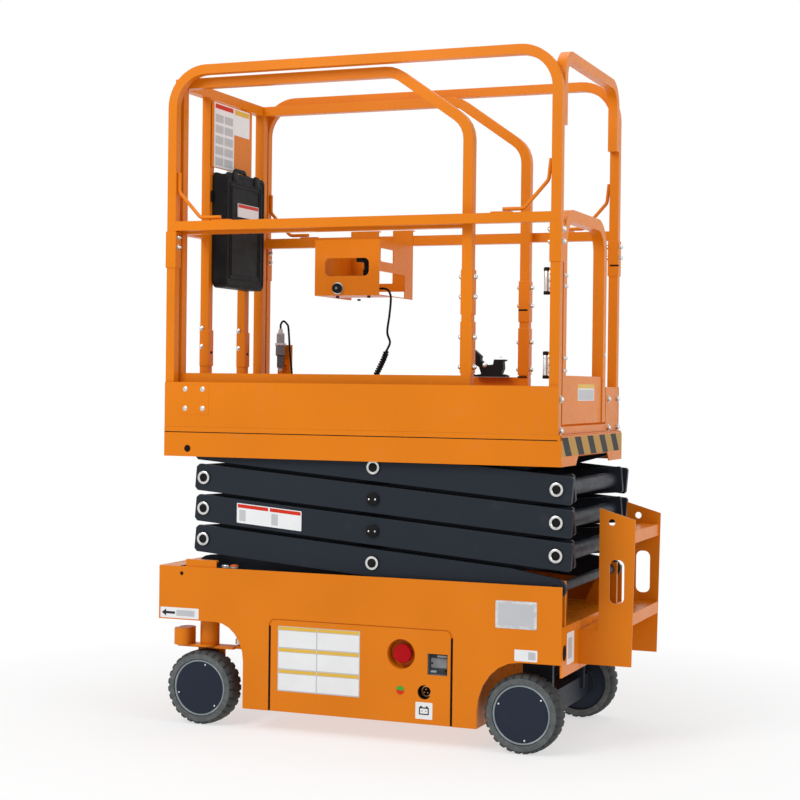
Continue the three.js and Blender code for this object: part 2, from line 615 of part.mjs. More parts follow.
// A pair of like bars, near and far, whose outer faces are outerFace from the middle.
const bars = (outline, outerFace) => Object.values(SIDES).map((side) =>
  plate(outline, SIDE_VIEW, ...across(side, outerFace - ARM_WALL, outerFace)));

function pinHead(x, side) {
  const [a, b] = across(side, OUTER_ARM_Y - 1, OUTER_ARM_Y + PIN_HEAD);
  const dimple = across(side, OUTER_ARM_Y + 1, OUTER_ARM_Y + PIN_HEAD + 1);
  return cut(round(Y, PIN_HEAD_RADIUS, a, b, [x, 0]),
    round(Y, PIN_HEAD_BORE, dimple[0], dimple[1], [x, 0]));
}

function outerArms(stage) {
  const top = stage === STAGES;
  const lowest = stage === 1;
  const left = { over: FRONT_OVERHANG, chamfer: 10 };
  const right = lowest ? { boss: LOWEST_END } : { over: REAR_OVERHANG, chamfer: 6 };
  const parts = bars(barOutline(left, right), OUTER_ARM_Y);
  const inside = OUTER_ARM_Y - 2;
  parts.push(round(Y, SHAFT_RADIUS, -inside, inside, [0, 0]));
  parts.push(round(Y, SHAFT_RADIUS, -inside, inside, [ARM_LENGTH, 0]));
  for (const side of Object.values(SIDES)) {
    if (top) {
      const roller = across(side, OUTER_ARM_Y - 1, OUTER_ARM_Y + 1 + ROLLER_WIDTH);
      parts.push(round(Y, ROLLER_RADIUS, roller[0], roller[1], [0, 0]));
    } else {
      parts.push(pinHead(0, side));
    }
    parts.push(pinHead(ARM_LENGTH, side));
  }
  const bore = OUTER_ARM_Y + 1;
  const bores = Object.values(SIDES).map((side) => {
    const y = across(side, OUTER_ARM_Y - ARM_WALL - 1, bore);
    return round(Y, SHAFT_RADIUS + RUN, y[0], y[1], [ARM_LENGTH / 2, 0]);
  });
  return cut(join(parts), bores);
}

function innerArms(stage) {
  const top = stage === STAGES;
  const lowest = stage === 1;
  const left = lowest ? { round: true } : { over: FRONT_OVERHANG, chamfer: 10 };
  const right = top ? { boss: TOP_BOSS_RADIUS } : { over: REAR_OVERHANG - 6, chamfer: 6 };
  const inside = INNER_ARM_Y - ARM_WALL + 1;
  const parts = bars(barOutline(left, right), INNER_ARM_Y);
  const bores = [];
  const full = INNER_ARM_Y + 1;
  if (lowest) {
    const reach = OUTER_ARM_Y + 1 + ROLLER_WIDTH;
    parts.push(round(Y, SHAFT_RADIUS, -reach, reach, [0, 0]));
    for (const side of Object.values(SIDES)) {
      const roller = across(side, OUTER_ARM_Y + 1, reach);
      parts.push(round(Y, ROLLER_RADIUS, roller[0], roller[1], [0, 0]));
    }
  } else {
    parts.push(round(Y, SLEEVE_RADIUS, -inside, inside, [0, 0]));
    bores.push(round(Y, SHAFT_RADIUS + RUN, -full, full, [0, 0]));
  }
  if (top) {
    bores.push(round(Y, TOP_PIN_RADIUS + RUN, -full, full, [ARM_LENGTH, 0]));
    parts.push(box([ARM_LENGTH - TOP_TAPER - 60, ARM_LENGTH - TOP_TAPER], [-inside, inside], [-20, 20]));
  } else {
    parts.push(round(Y, SLEEVE_RADIUS, -inside, inside, [ARM_LENGTH, 0]));
    bores.push(round(Y, SHAFT_RADIUS + RUN, -full, full, [ARM_LENGTH, 0]));
  }
  for (const side of Object.values(SIDES)) {
    const stub = across(side, INNER_ARM_Y - 1, OUTER_ARM_Y + PIN_HEAD);
    parts.push(round(Y, SHAFT_RADIUS, stub[0], stub[1], [ARM_LENGTH / 2, 0]));
  }
  if (lowest) {
    // tube behind the rod eye, with a cheek on each side of the eye
    const tube = [ROD_EYE_ALONG - 95, ROD_EYE_UP];
    parts.push(round(Y, 25, -inside, inside, tube));
    for (const side of Object.values(SIDES)) {
      const cheek = across(side, EYE_WIDTH / 2 + 2, EYE_WIDTH / 2 + 12);
      parts.push(plate(rectangle(tube[0], ROD_EYE_UP - 34, ROD_EYE_ALONG + 34, ROD_EYE_UP + 34,
        [0, 30, 30, 0]), SIDE_VIEW, cheek[0], cheek[1]));
    }
  }
  return cut(join(parts), bores);
}

for (let stage = 1; stage <= STAGES; stage += 1) {
  const low = PIN_LOW_Z + (stage - 1) * PITCH;
  add(`outer_arms_${stage}`, outerArms(stage), CHARCOAL, [PIN_FRONT_X, 0, low + PITCH], ARM_REST);
  add(`inner_arms_${stage}`, innerArms(stage), CHARCOAL, [PIN_FRONT_X, 0, low], -ARM_REST);
}

// Lift cylinder, drawn along +X from the barrel's pin and turned to point at the rod's eye.
const eyeRest = [
  PIN_FRONT_X + ROD_EYE_ALONG * Math.cos(ARM_REST) - ROD_EYE_UP * Math.sin(ARM_REST),
  PIN_LOW_Z + ROD_EYE_ALONG * Math.sin(ARM_REST) + ROD_EYE_UP * Math.cos(ARM_REST),
];
const baseRest = [PIN_REAR_X - CYLINDER_BASE_BACK, PIN_LOW_Z - CYLINDER_BASE_DROP];
const cylinderSpan = Math.hypot(eyeRest[0] - baseRest[0], eyeRest[1] - baseRest[1]);
const cylinderTurn = Math.atan2(eyeRest[1] - baseRest[1], eyeRest[0] - baseRest[0]);

function barrel() {
  const body = join(
    round(X, BARREL_RADIUS, 44, 44 + BARREL_LENGTH, [0, 0], 28),
    round(Y, EYE_RADIUS, -EYE_WIDTH / 2, EYE_WIDTH / 2, [0, 0]),
    box([0, 50], [-EYE_WIDTH / 2, EYE_WIDTH / 2], [-18, 18]));
  return cut(body, round(X, ROD_RADIUS + RUN, 64, 60 + BARREL_LENGTH, [0, 0]),
    round(Y, 14 + RUN, -EYE_WIDTH, EYE_WIDTH, [0, 0]));
}

function rod() {
  return join(
    round(X, ROD_RADIUS, 70, cylinderSpan - 15, [0, 0]),
    round(Y, EYE_RADIUS, -EYE_WIDTH / 2, EYE_WIDTH / 2, [cylinderSpan, 0]));
}

add('lift_cylinder_barrel', barrel(), BLACK, [baseRest[0], 0, baseRest[1]], -cylinderTurn);
add('lift_cylinder_rod', rod(), STEEL, [baseRest[0], 0, baseRest[1]], -cylinderTurn);

// ---------------------------------------------------------------- platform
function mainDeck() {
  const inner = HALF_WIDTH - CHANNEL_PLATE;
  const parts = [box([PLATFORM_FRONT, PLATFORM_REAR - 4], [-inner - 1, inner + 1],
    [DECK_Z - DECK_PLATE, DECK_Z])];
  for (const side of Object.values(SIDES)) {
    const web = across(side, inner, HALF_WIDTH);
    const flange = across(side, HALF_WIDTH - CHANNEL_FLANGE - CHANNEL_PLATE, inner + 1);
    parts.push(box([PLATFORM_FRONT, PLATFORM_REAR], web, [CHANNEL_BOTTOM, CHANNEL_TOP]));
    parts.push(box([PLATFORM_FRONT, PLATFORM_REAR - 4], web, [CHANNEL_TOP - 1, DECK_Z]));
    const pinZ = PIN_LOW_Z + STAGES * PITCH;
    parts.push(box([PLATFORM_FRONT, PIN_FRONT_X + 620], flange,
      [pinZ + ROLLER_RADIUS + FIT, pinZ + ROLLER_RADIUS + FIT + 5]));
    // lug of the top rear pin, hung under the deck
    const lug = across(side, INNER_ARM_Y + 6, INNER_ARM_Y + 18);
    parts.push(box([PIN_REAR_X - 40, PLATFORM_REAR - 6], lug, [pinZ - 16, DECK_Z - 1]));
  }
  parts.push(box([EXT_REAR + TREAD_EDGE, RAIL_REAR - TREAD_EDGE],
    [-EXT_EDGE + TREAD_EDGE, EXT_EDGE - TREAD_EDGE], [DECK_Z - 1, DECK_Z + TREAD]));
  const pinZ = PIN_LOW_Z + STAGES * PITCH;
  parts.push(round(Y, TOP_PIN_RADIUS, -INNER_ARM_Y - 8, INNER_ARM_Y + 8, [PIN_REAR_X, pinZ]));
  return join(parts);
}

function rearEndPlate() {
  const y0 = -HALF_WIDTH + CHANNEL_PLATE + FIT;
  const outline = polygon([[y0, CHANNEL_BOTTOM], [y0 + END_FOOT, CHANNEL_BOTTOM],
    [y0 + END_FOOT + 30, END_RECESS_Z], [-y0 - END_FOOT - 30, END_RECESS_Z],
    [-y0 - END_FOOT, CHANNEL_BOTTOM], [-y0, CHANNEL_BOTTOM], [-y0, DECK_Z - DECK_PLATE - FIT],
    [y0, DECK_Z - DECK_PLATE - FIT]]);
  return plate(outline, END_VIEW, PLATFORM_REAR - 4, PLATFORM_REAR);
}

add('main_deck', mainDeck(), ORANGE);
add('rear_end_plate', rearEndPlate(), ORANGE);

for (const [name, side] of Object.entries(SIDES)) {
  const y = across(side, HALF_WIDTH - TOE_PLATE, HALF_WIDTH);
  add(`${name}_toe_board`, box([PLATFORM_FRONT, RAIL_REAR + RUN], y,
    [DECK_Z + FIT, TOE_TOP]), ORANGE);
}

// the hoop is bolted between the rear posts
add('rear_hoop', archSolid(END_VIEW, RAIL_REAR - RAIL, RAIL_REAR, -RAIL_Y + RAIL + FIT,
  RAIL_Y - RAIL - FIT, HOOP_BOTTOM, HOOP_TOP, RAIL, [HOOP_BEND, HOOP_BEND]), ORANGE);

// Hinge barrels stand just in front of the near post: the upper half of each is the post's.
const HINGE_Z = [DECK_Z + 175, DECK_Z + 438];
const HINGE_HALF = 41;
const HINGE_RADIUS = 7;
const HINGE_X = RAIL_REAR - RAIL - 16;
const GATE_NEAR = -RAIL_Y + RAIL + GATE_GAP;
const GATE_FAR = GATE_NEAR + GATE_WIDTH;
const HINGE_Y = GATE_NEAR - GATE_GAP / 2;

function hingeBarrel(low, leafX, leafY) {
  return join(round(Z, HINGE_RADIUS, low, low + HINGE_HALF - FIT, [HINGE_X, HINGE_Y], 12),
    box(leafX, leafY, [low, low + HINGE_HALF - FIT]));
}

function gate() {
  const x = [RAIL_REAR - GATE_TUBE, RAIL_REAR];
  const loop = archSolid(END_VIEW, x[0], x[1], GATE_NEAR, GATE_FAR, GATE_BOTTOM, GATE_TOP, GATE_TUBE,
    [GATE_BEND, GATE_BEND]);
  const panel = x[1] - GATE_PANEL;
  return join(loop, box([panel - GATE_PANEL, panel], [GATE_NEAR + 2, GATE_FAR - 2],
    [GATE_BOTTOM, GATE_PANEL_TOP]),
    HINGE_Z.map((z) => hingeBarrel(z, [HINGE_X, x[0] + 1], [HINGE_Y, GATE_NEAR + 6])));
}

add('rear_gate', gate(), ORANGE);

// Sill under the gate, raised to a kick plate on the far side.
const sillEnd = RAIL_Y - RAIL - FIT;
const kickFrom = GATE_FAR + 8;
add('rear_kick_plate', plate(polygon([[-sillEnd, DECK_Z + FIT], [sillEnd, DECK_Z + FIT],
  [sillEnd, TOE_TOP], [kickFrom, TOE_TOP], [kickFrom, SILL_TOP], [-sillEnd, SILL_TOP]]),
END_VIEW, RAIL_REAR - KICK_PLATE, RAIL_REAR), ORANGE);

// side guardrail: two posts and a top rail bent from one tube, with a mid rail between, and a
// sleeve on each post where it folds
const postLeaf = (z) => hingeBarrel(z + HINGE_HALF, [HINGE_X, RAIL_REAR - RAIL + 1],
  [-RAIL_Y + RAIL - 8, HINGE_Y]);

for (const [name, side] of Object.entries(SIDES)) {
  const y = across(side, RAIL_Y - RAIL, RAIL_Y);
  const loop = archSolid(SIDE_VIEW, y[0], y[1], RAIL_FRONT, RAIL_REAR, DECK_Z + FIT, RAIL_TOP, RAIL,
    [RAIL_BEND, RAIL_BEND]);
  const leaves = side < 0 ? HINGE_Z.map(postLeaf) : [];
  const sleeves = [RAIL_FRONT, RAIL_REAR - RAIL].map((x) =>
    box([x - SLEEVE, x + RAIL + SLEEVE], [y[0] - SLEEVE, y[1] + SLEEVE], SLEEVE_Z));
  add(`${name}_guardrail`, join(loop, leaves, sleeves,
    box([RAIL_FRONT + RAIL - 1, RAIL_REAR - RAIL + 1], y, [MID_BOTTOM, MID_BOTTOM + RAIL])), ORANGE);
}

// ---------------------------------------------------------------- extension deck
// Floor with toe boards, runners under it, a raised tread sheet, and on the far toe board a tab
// that holds the control connector.
const CONNECTOR = [FRONT + 123, EXT_EDGE - 30];
const CONNECTOR_Z = DECK_Z + 196;
const SADDLE_RADIUS = 13;

// the two anti-slip sheets, along the machine; the cord lies on the front one
const TREAD_JOINT = EXT_REAR - 514;
const TREAD_SPLIT = 4;
const EXT_TREADS = [[EXT_FRONT + TREAD_EDGE + FRONT_POST, TREAD_JOINT - TREAD_SPLIT],
  [TREAD_JOINT, EXT_REAR - TREAD_EDGE - EXT_RAIL]];

function extensionDeck() {
  const y = EXT_EDGE;
  const floor = EXT_DECK_Z - EXT_DECK_PLATE;
  const parts = [box([EXT_FRONT, EXT_REAR], [-y, y], [floor, EXT_DECK_Z]),
    ...EXT_TREADS.map((x) => box(x, [-y + TREAD_EDGE + EXT_RAIL, y - TREAD_EDGE - EXT_RAIL],
      [EXT_DECK_Z - 1, EXT_DECK_Z + TREAD]))];
  for (const side of Object.values(SIDES)) {
    const toe = across(side, EXT_EDGE - EXT_TOE, EXT_EDGE);
    parts.push(box([EXT_FRONT, EXT_REAR], toe, [EXT_DECK_Z - 1, EXT_TOE_TOP]));
    parts.push(box([PLATFORM_FRONT + 5, EXT_REAR - 5], across(side, EXT_RUNNER_Y, EXT_RUNNER_Y + 30),
      [DECK_Z + FIT, floor + 1]));
  }
  parts.push(box([EXT_FRONT, EXT_FRONT + 3], [-EXT_EDGE + EXT_TOE / 2, EXT_EDGE - EXT_TOE / 2],
    [EXT_DECK_Z - 1, EXT_TOE_TOP - 1]));
  parts.push(box([CONNECTOR[0] - 24, CONNECTOR[0] + 36], [EXT_EDGE - EXT_TOE, EXT_EDGE],
    [EXT_TOE_TOP - 1, EXT_TOE_TOP + 113]));
  parts.push(box([CONNECTOR[0] - 14, CONNECTOR[0] + 14],
    [CONNECTOR[1] + SADDLE_RADIUS + FIT, EXT_EDGE - 1], [CONNECTOR_Z + 24, CONNECTOR_Z + 44]));
  return join(parts);
}

add('extension_deck', extensionDeck(), ORANGE);

// Extension side rail: its rear post bends into a sloping bar that meets the top rail, and has
// two sleeves.
const MID_Z = [MID_BOTTOM - 8, MID_BOTTOM - 8 + RAIL];

function extensionRail(side) {
  const y = across(side, EXT_Y - EXT_RAIL, EXT_Y);
  const foot = EXT_DECK_Z + FIT;
  const t = EXT_RAIL;
  const x0 = EXT_FRONT + 5;
  const slope = Math.atan2(EXT_SLOPE_Z, EXT_SLOPE_X);
  const rise = t * Math.tan(slope / 2);
  const drop = t * Math.tan((Math.PI / 2 - slope) / 2);
  const outer = bent([[x0, foot], [EXT_REAR, foot], [EXT_REAR, EXT_TOP - EXT_SLOPE_Z, EXT_BEND],
    [EXT_REAR - EXT_SLOPE_X, EXT_TOP, EXT_BEND], [x0, EXT_TOP]]);
  const upper = bent([[x0 + t, MID_Z[1]], [EXT_REAR - t, MID_Z[1]],
    [EXT_REAR - t, EXT_TOP - EXT_SLOPE_Z - drop, EXT_BEND - t],
    [EXT_REAR - EXT_SLOPE_X - rise, EXT_TOP - t, EXT_BEND - t], [x0 + t, EXT_TOP - t]]);
  const lower = rectangle(x0 + t, foot - 10, EXT_REAR - t, MID_Z[0]);
  const sleeves = EXT_SLEEVE_Z.map((z) =>
    box([EXT_REAR - t - SLEEVE, EXT_REAR + SLEEVE], across(side, EXT_Y - t - SLEEVE, EXT_Y), z));
  return join(cut(plate(outer, SIDE_VIEW, y[0], y[1]), plate(upper, SIDE_VIEW, y[0] - 1, y[1] + 1),
    plate(lower, SIDE_VIEW, y[0] - 1, y[1] + 1)), sleeves);
}

for (const [name, side] of Object.entries(SIDES)) {
  add(`${name}_extension_rail`, extensionRail(side), ORANGE);
}

const FRONT_BAR = [EXT_FRONT + 5, EXT_FRONT + 5 + FRONT_POST];

function frontRail() {
  const x = FRONT_BAR;
  const y = EXT_Y - EXT_RAIL - FIT;
  const parts = [box(x, [-y, y], [EXT_TOP - EXT_RAIL, EXT_TOP]), box(x, [-y, y], MID_Z)];
  for (const post of FRONT_POST_Y) {
    const half = FRONT_POST / 2;
    parts.push(box(x, [post - half, post + half], [EXT_DECK_Z + FIT, EXT_TOP - 1]));
    parts.push(box([x[0], x[1] + SLEEVE], [post - half - SLEEVE, post + half + SLEEVE], FRONT_SLEEVE_Z));
  }
  return join(parts);
}

add('front_extension_rail', frontRail(), ORANGE);

const postInside = FRONT_BAR[1] + SLEEVE + FIT;
const PLATE_Z = [DECK_Z + 910, DECK_Z + 1145];
const CASE_Z = [DECK_Z + 487, DECK_Z + 895];
const CASE_Y = [FRONT_POST_Y[0] + 2, FRONT_POST_Y[1] + 23];
const CASE_DEPTH = 52;
const CASE_WALL = 4;
const STANDOFF_RADIUS = 9;

// what hangs on the front posts has short standoffs that reach them
const standoffs = (z) => FRONT_POST_Y.map((y) =>
  round(X, STANDOFF_RADIUS, FRONT_BAR[1] + FIT, postInside + 1, [y, z], 12));

add('info_plate', join(box([postInside, postInside + 3],
  [FRONT_POST_Y[0] - 12, FRONT_POST_Y[1] + 13], PLATE_Z),
standoffs(PLATE_Z[0] + 20)), SILVER);

// Case of two moulded halves with grooved faces, rounded below and open above.
function documentCase() {
  const [y0, y1] = CASE_Y;
  const x = [postInside, postInside + CASE_DEPTH];
  const corner = 30;
  const body = plate(rectangle(y0, CASE_Z[0], y1, CASE_Z[1], [corner, corner, 20, 20]), END_VIEW, x[0], x[1]);
  const space = plate(rectangle(y0 + CASE_WALL, CASE_Z[0] + CASE_WALL, y1 - CASE_WALL, CASE_Z[1] + 30,
    [corner - CASE_WALL, corner - CASE_WALL, 0, 0]), END_VIEW, x[0] + CASE_WALL, x[1] - CASE_WALL);
  const strap = box([postInside, postInside + 3], [FRONT_POST_Y[0] - 12, y0 + 1],
    [CASE_Z[0] + 300, CASE_Z[0] + 340]);
  return join(cut(body, space), strap, standoffs(CASE_Z[0] + 320));
}

add('document_case', documentCase(), BLACK);

// Control bracket: a sheet housing hooked over the middle bar of the far extension rail, with
// windows in its front and its right side.
const BRACKET_X = [REAR - 1009, REAR - 766];
const BRACKET_Z = [DECK_Z + 458, DECK_Z + 652];
const BRACKET_FRONT = -30;
const BRACKET_BACK = EXT_Y - EXT_RAIL - FIT;
const BRACKET_FLOOR = 145;
const SHEET = 3;

function controlBracket() {
  const [x0, x1] = BRACKET_X;
  const [z0, z1] = BRACKET_Z;
  const y0 = BRACKET_FRONT;
  const y1 = BRACKET_BACK;
  const front = cut(box([x0, x1], [y0, y0 + SHEET], [z0, z1]),
    plate(rectangle(x0 + 38, z0 + 68, x1 - 39, z0 + 130, [18, 18, 18, 18]), SIDE_VIEW, y0 - 1, y0 + SHEET + 1));
  const cheek = (x) => box([x, x + SHEET], [y0, y1], [z0, z1]);
  const right = cut(cheek(x1 - SHEET),
    plate(rectangle(y0 + SHEET, z0 + SHEET, y1 - 78, z0 + 84, [0, 0, 16, 0]), END_VIEW, x1 - SHEET - 1, x1 + 1),
    plate(rectangle(y0 + 12, z0 + 118, y1 - 187, z0 + 164, [8, 8, 8, 8]), END_VIEW, x1 - SHEET - 1, x1 + 1));
  const backTop = z1 + 58;
  const tabs = [[x0, x0 + 110], [x1 - 78, x1]].map((x) =>
    box(x, [y1 - SHEET, y1], [z0 + 30, backTop]));
  const hooks = [[x0, x0 + 110], [x1 - 78, x1]].map((x) =>
    box(x, [y1 - SHEET, y1 + 20], [backTop - SHEET, backTop]));
  return join(front, cheek(x0), right,
    box([x0, x1], [y0, y0 + BRACKET_FLOOR], [z0, z0 + SHEET]), tabs, hooks,
    box([x0, x1], [y1 - SHEET, y1], [z0 + 30, z0 + 60]));
}

add('control_bracket', controlBracket(), ORANGE);
const KNOB = [BRACKET_X[0] + 88, BRACKET_Z[0] + 25];
add('control_knob', round(Y, 17, BRACKET_FRONT - 14, BRACKET_FRONT - FIT, KNOB, 20), BLACK);

// hand control that stands in the bracket, with a lever and the cord's gland on its right
const HAND_X = [BRACKET_X[0] + 50, BRACKET_X[1] - 42];
const HAND_Y = [-22, 68];
const HAND_TOP = 66;
const CORD_RADIUS = 4;
const COIL_RADIUS = 11;
const EXIT = [BRACKET_X[1] - 22, 5, BRACKET_Z[0] + 24];

function handControl() {
  const z = BRACKET_Z[0] + SHEET + FIT;
  return join(box(HAND_X, HAND_Y, [z, z + HAND_TOP]),
    round(Z, 9, z + HAND_TOP - 1, z + HAND_TOP + 52, [HAND_X[1] - 30, 30], 12),
    box([HAND_X[1] - 62, HAND_X[1] - 8], [12, 48], [z + HAND_TOP + 50, z + HAND_TOP + 84]),
    round(X, 9, HAND_X[1] - 1, EXIT[0] - FIT, [EXIT[1], EXIT[2]], 12));
}

add('hand_control', handControl(), BLACK);

// Control cord: thin from the hand control, a curly length down to the floor and along it, and
// thin again up to the connector.
const coilTop = [BRACKET_X[1] + 16, 12, BRACKET_Z[0] - 186];
const CORD_LIFT = 1.5;        // cord over the floor it lies on
const floorZ = EXT_DECK_Z + TREAD + COIL_RADIUS + CORD_LIFT;
const coilEnd = [FRONT + 199, 215, floorZ];
const tailFloor = EXT_DECK_Z + TREAD + CORD_RADIUS + CORD_LIFT;
const plugTop = CONNECTOR_Z + 158;

add('cord_upper', tube([EXIT, [EXIT[0] + 12, 5, EXIT[2] + 1], [EXIT[0] + 28, 5, EXIT[2] + 1],
  [EXIT[0] + 42, 6, EXIT[2] - 6], [EXIT[0] + 50, 8, EXIT[2] - 24], [EXIT[0] + 50, 9, EXIT[2] - 50],
  [EXIT[0] + 45, 10, EXIT[2] - 96], [EXIT[0] + 38, 11, EXIT[2] - 150],
  [coilTop[0] + 10, 12, coilTop[2] + 25],
  [coilTop[0] + FIT, 12, coilTop[2] + 2 * FIT]], CORD_RADIUS, 26), BLACK);
add('cord_coil', tube([coilTop, [coilTop[0] - 16, 12, coilTop[2] - 40],
  [coilTop[0] - 62, 13, coilTop[2] - 128], [coilTop[0] - 104, 20, floorZ + 46],
  [coilTop[0] - 150, 34, floorZ + 8], [coilTop[0] - 205, 52, floorZ],
  [coilTop[0] - 340, 120, floorZ], [coilEnd[0] + 40, 186, floorZ], coilEnd], COIL_RADIUS, 36), BLACK);
add('cord_lower', tube([[coilEnd[0] - 1, coilEnd[1] + 1, coilEnd[2]], [coilEnd[0] - 18, coilEnd[1] + 16, tailFloor + 3],
  [coilEnd[0] - 34, coilEnd[1] + 36, tailFloor], [CONNECTOR[0] + 52, CONNECTOR[1] - 34, tailFloor + 4],
  [CONNECTOR[0] + 53, CONNECTOR[1] - 16, tailFloor + 50],
  [CONNECTOR[0] + 53, CONNECTOR[1] - 10, CONNECTOR_Z - 20],
  [CONNECTOR[0] + 42, CONNECTOR[1] - 6, CONNECTOR_Z + 70],
  [CONNECTOR[0] + 34, CONNECTOR[1] - 4, plugTop], [CONNECTOR[0] + 27, CONNECTOR[1] - 3, plugTop + 18],
  [CONNECTOR[0] + 11, CONNECTOR[1] - 1, plugTop + 29], [CONNECTOR[0], CONNECTOR[1], plugTop + 16],
  [CONNECTOR[0], CONNECTOR[1], plugTop + 2 * FIT]], CORD_RADIUS, 56), BLACK);

// connector pair: the socket below its collar, the plug above
const CONNECTOR_PROFILE = [[0, 0], [8, 0], [8, 12], [SADDLE_RADIUS, 14], [SADDLE_RADIUS, 56], [18, 60],
  [18, 96], [21, 97], [21, 104], [15, 106], [15, 138], [9, 146], [7, 158], [0, 158]];
add('control_connector', solid(new THREE.LatheGeometry(
  CONNECTOR_PROFILE.map(([r, z]) => new THREE.Vector2(r, z)), 20).rotateX(Math.PI / 2)), GREY,
[CONNECTOR[0], CONNECTOR[1], CONNECTOR_Z]);

// foot pedal that releases the extension, on the far toe board: [x, z] from its base
const PEDAL = [REAR - 542, 282, EXT_TOE_TOP + FIT];
const PEDAL_WIDTH = 30;
const PEDAL_OUTLINE = [[16, 0], [136, 0], [136, 8], [118, 10], [126, 30], [124, 54], [134, 58], [134, 62],
  [91, 62], [88, 44], [62, 42], [40, 60], [42, 74], [16, 96], [2, 98], [-4, 60], [36, 34], [44, 10], [16, 6]];
const pedalShape = PEDAL_OUTLINE.map(([x, z]) => [PEDAL[0] + x, PEDAL[2] + z]);
add('foot_pedal', join(plate(polygon(pedalShape), SIDE_VIEW, PEDAL[1], PEDAL[1] + PEDAL_WIDTH),
  box([PEDAL[0] + 16, PEDAL[0] + 136], [PEDAL[1], EXT_EDGE - FIT], [PEDAL[2], PEDAL[2] + 6])), BLACK);

export default group;
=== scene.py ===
"""Looks for a self-propelled scissor lift: paint, rubber, steel and plastic finishes, wheels with
tread, the control lead, pins, bolts, hinges, plain plates and a studio floor."""
import json
import math

import bmesh
import bpy
import numpy as np
from mathutils import Matrix, Vector


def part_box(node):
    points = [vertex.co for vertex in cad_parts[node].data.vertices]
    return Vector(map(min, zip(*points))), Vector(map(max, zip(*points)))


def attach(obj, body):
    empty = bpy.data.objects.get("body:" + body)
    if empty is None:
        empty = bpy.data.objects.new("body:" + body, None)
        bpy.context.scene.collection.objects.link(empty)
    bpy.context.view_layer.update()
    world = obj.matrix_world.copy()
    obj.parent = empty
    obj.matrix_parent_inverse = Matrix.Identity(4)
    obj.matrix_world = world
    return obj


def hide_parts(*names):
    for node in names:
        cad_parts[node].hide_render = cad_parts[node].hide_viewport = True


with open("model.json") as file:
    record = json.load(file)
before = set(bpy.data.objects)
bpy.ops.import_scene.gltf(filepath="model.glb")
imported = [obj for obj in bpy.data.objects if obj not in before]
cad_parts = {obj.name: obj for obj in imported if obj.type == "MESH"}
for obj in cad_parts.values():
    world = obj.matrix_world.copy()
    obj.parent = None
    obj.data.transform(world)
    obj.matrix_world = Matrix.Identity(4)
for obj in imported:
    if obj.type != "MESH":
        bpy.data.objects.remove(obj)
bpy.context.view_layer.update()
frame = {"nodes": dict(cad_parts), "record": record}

bl_info = {
    "name": "Scissor lift looks",
    "version": (1, 0, 0),
    "blender": (4, 5, 0),
    "location": "3D View > Sidebar > Scissor Lift",
    "description": "Builds the finishes and the small parts of a scissor lift round its CAD frame",
    "category": "Add Mesh",
}

MM = 0.001
SMOOTH_ANGLE = math.radians(38)
SLOTS = {s["node"]: s["material_slot"] for s in frame["record"]["subparts"]}
AXES = {
    "+x": np.array([[0, 0, 1], [1, 0, 0], [0, 1, 0]], float),
    "-x": np.array([[0, 0, -1], [-1, 0, 0], [0, 1, 0]], float),
    "+y": np.array([[-1, 0, 0], [0, 0, 1], [0, 1, 0]], float),
    "-y": np.array([[1, 0, 0], [0, 0, -1], [0, 1, 0]], float),
    "+z": np.eye(3),
    "-z": np.diag([1.0, -1.0, -1.0]),
}
SIDES = (("near", -1, "-y"), ("far", 1, "+y"))


# ------------------------------------------------------------------ numbers of the CAD frame, mm
def corners(node):
    """The lowest and highest corners of a CAD node, in millimetres."""
    low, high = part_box(node)
    return np.array([list(low), list(high)]) / MM


HALF_WIDTH = corners("near_side_plate")[0][1] * -1
FRONT = corners("chassis_tub")[0][0]
REAR = corners("chassis_tub")[1][0]
PLATFORM_REAR = corners("rear_end_plate")[1][0]
NEAR_FACE = -380.0  # of the chassis side and the toe board
EXT_TREAD_Z = 1020.0
STAGES = 4
PIN_LOW = 523.5  # height of the lowest arms' rear pins
PITCH = 103.5  # height of a folded stage
PIN_REAR = REAR - 28
PIN_SPAN = 1235
PIN_FRONT = PIN_REAR - PIN_SPAN
ARM_FACE = 361  # outer face of the outer arms
POST = 32
RAIL_Y = HALF_WIDTH - 6
RAIL_REAR = REAR - 21
RAIL_FRONT = FRONT + 12


# ------------------------------------------------------------------ surfaces
def grid(sections, closed_path=False):
    """A shell from rings of points: ring i joined to ring i + 1 by quads, and flat ends."""
    count, around = sections.shape[:2]
    i, j = np.meshgrid(
        np.arange(count if closed_path else count - 1), np.arange(around), indexing="ij"
    )
    up, on = (i + 1) % count, (j + 1) % around
    quads = np.stack(
        [i * around + j, i * around + on, up * around + on, up * around + j], -1
    )
    faces = quads.reshape(-1, 4).tolist()
    if not closed_path:
        faces.append(list(range(around))[::-1])
        faces.append(list(range((count - 1) * around, count * around)))
    return sections.reshape(-1, 3), faces


def moved(shell, at=(0, 0, 0), axis="+z"):
    """The shell with its own z turned to an axis and its origin put at a point."""
    return shell[0] @ AXES[axis].T + np.array(at, float), shell[1]


def joined(shells):
    """Several shells as one list of points and faces."""
    points, faces, total = [], [], 0
    for vertices, polygons in shells:
        points.append(vertices)
        faces += [[v + total for v in polygon] for polygon in polygons]
        total += len(vertices)
    return np.concatenate(points), faces


def scattered(shell, places):
    """The same shell at each place: every point plus every offset."""
    vertices, faces = shell
    places = np.asarray(places, float)
    points = (vertices[None] + places[:, None]).reshape(-1, 3)
    step = len(vertices)
    return points, [
        [v + k * step for v in polygon] for k in range(len(places)) for polygon in faces
    ]


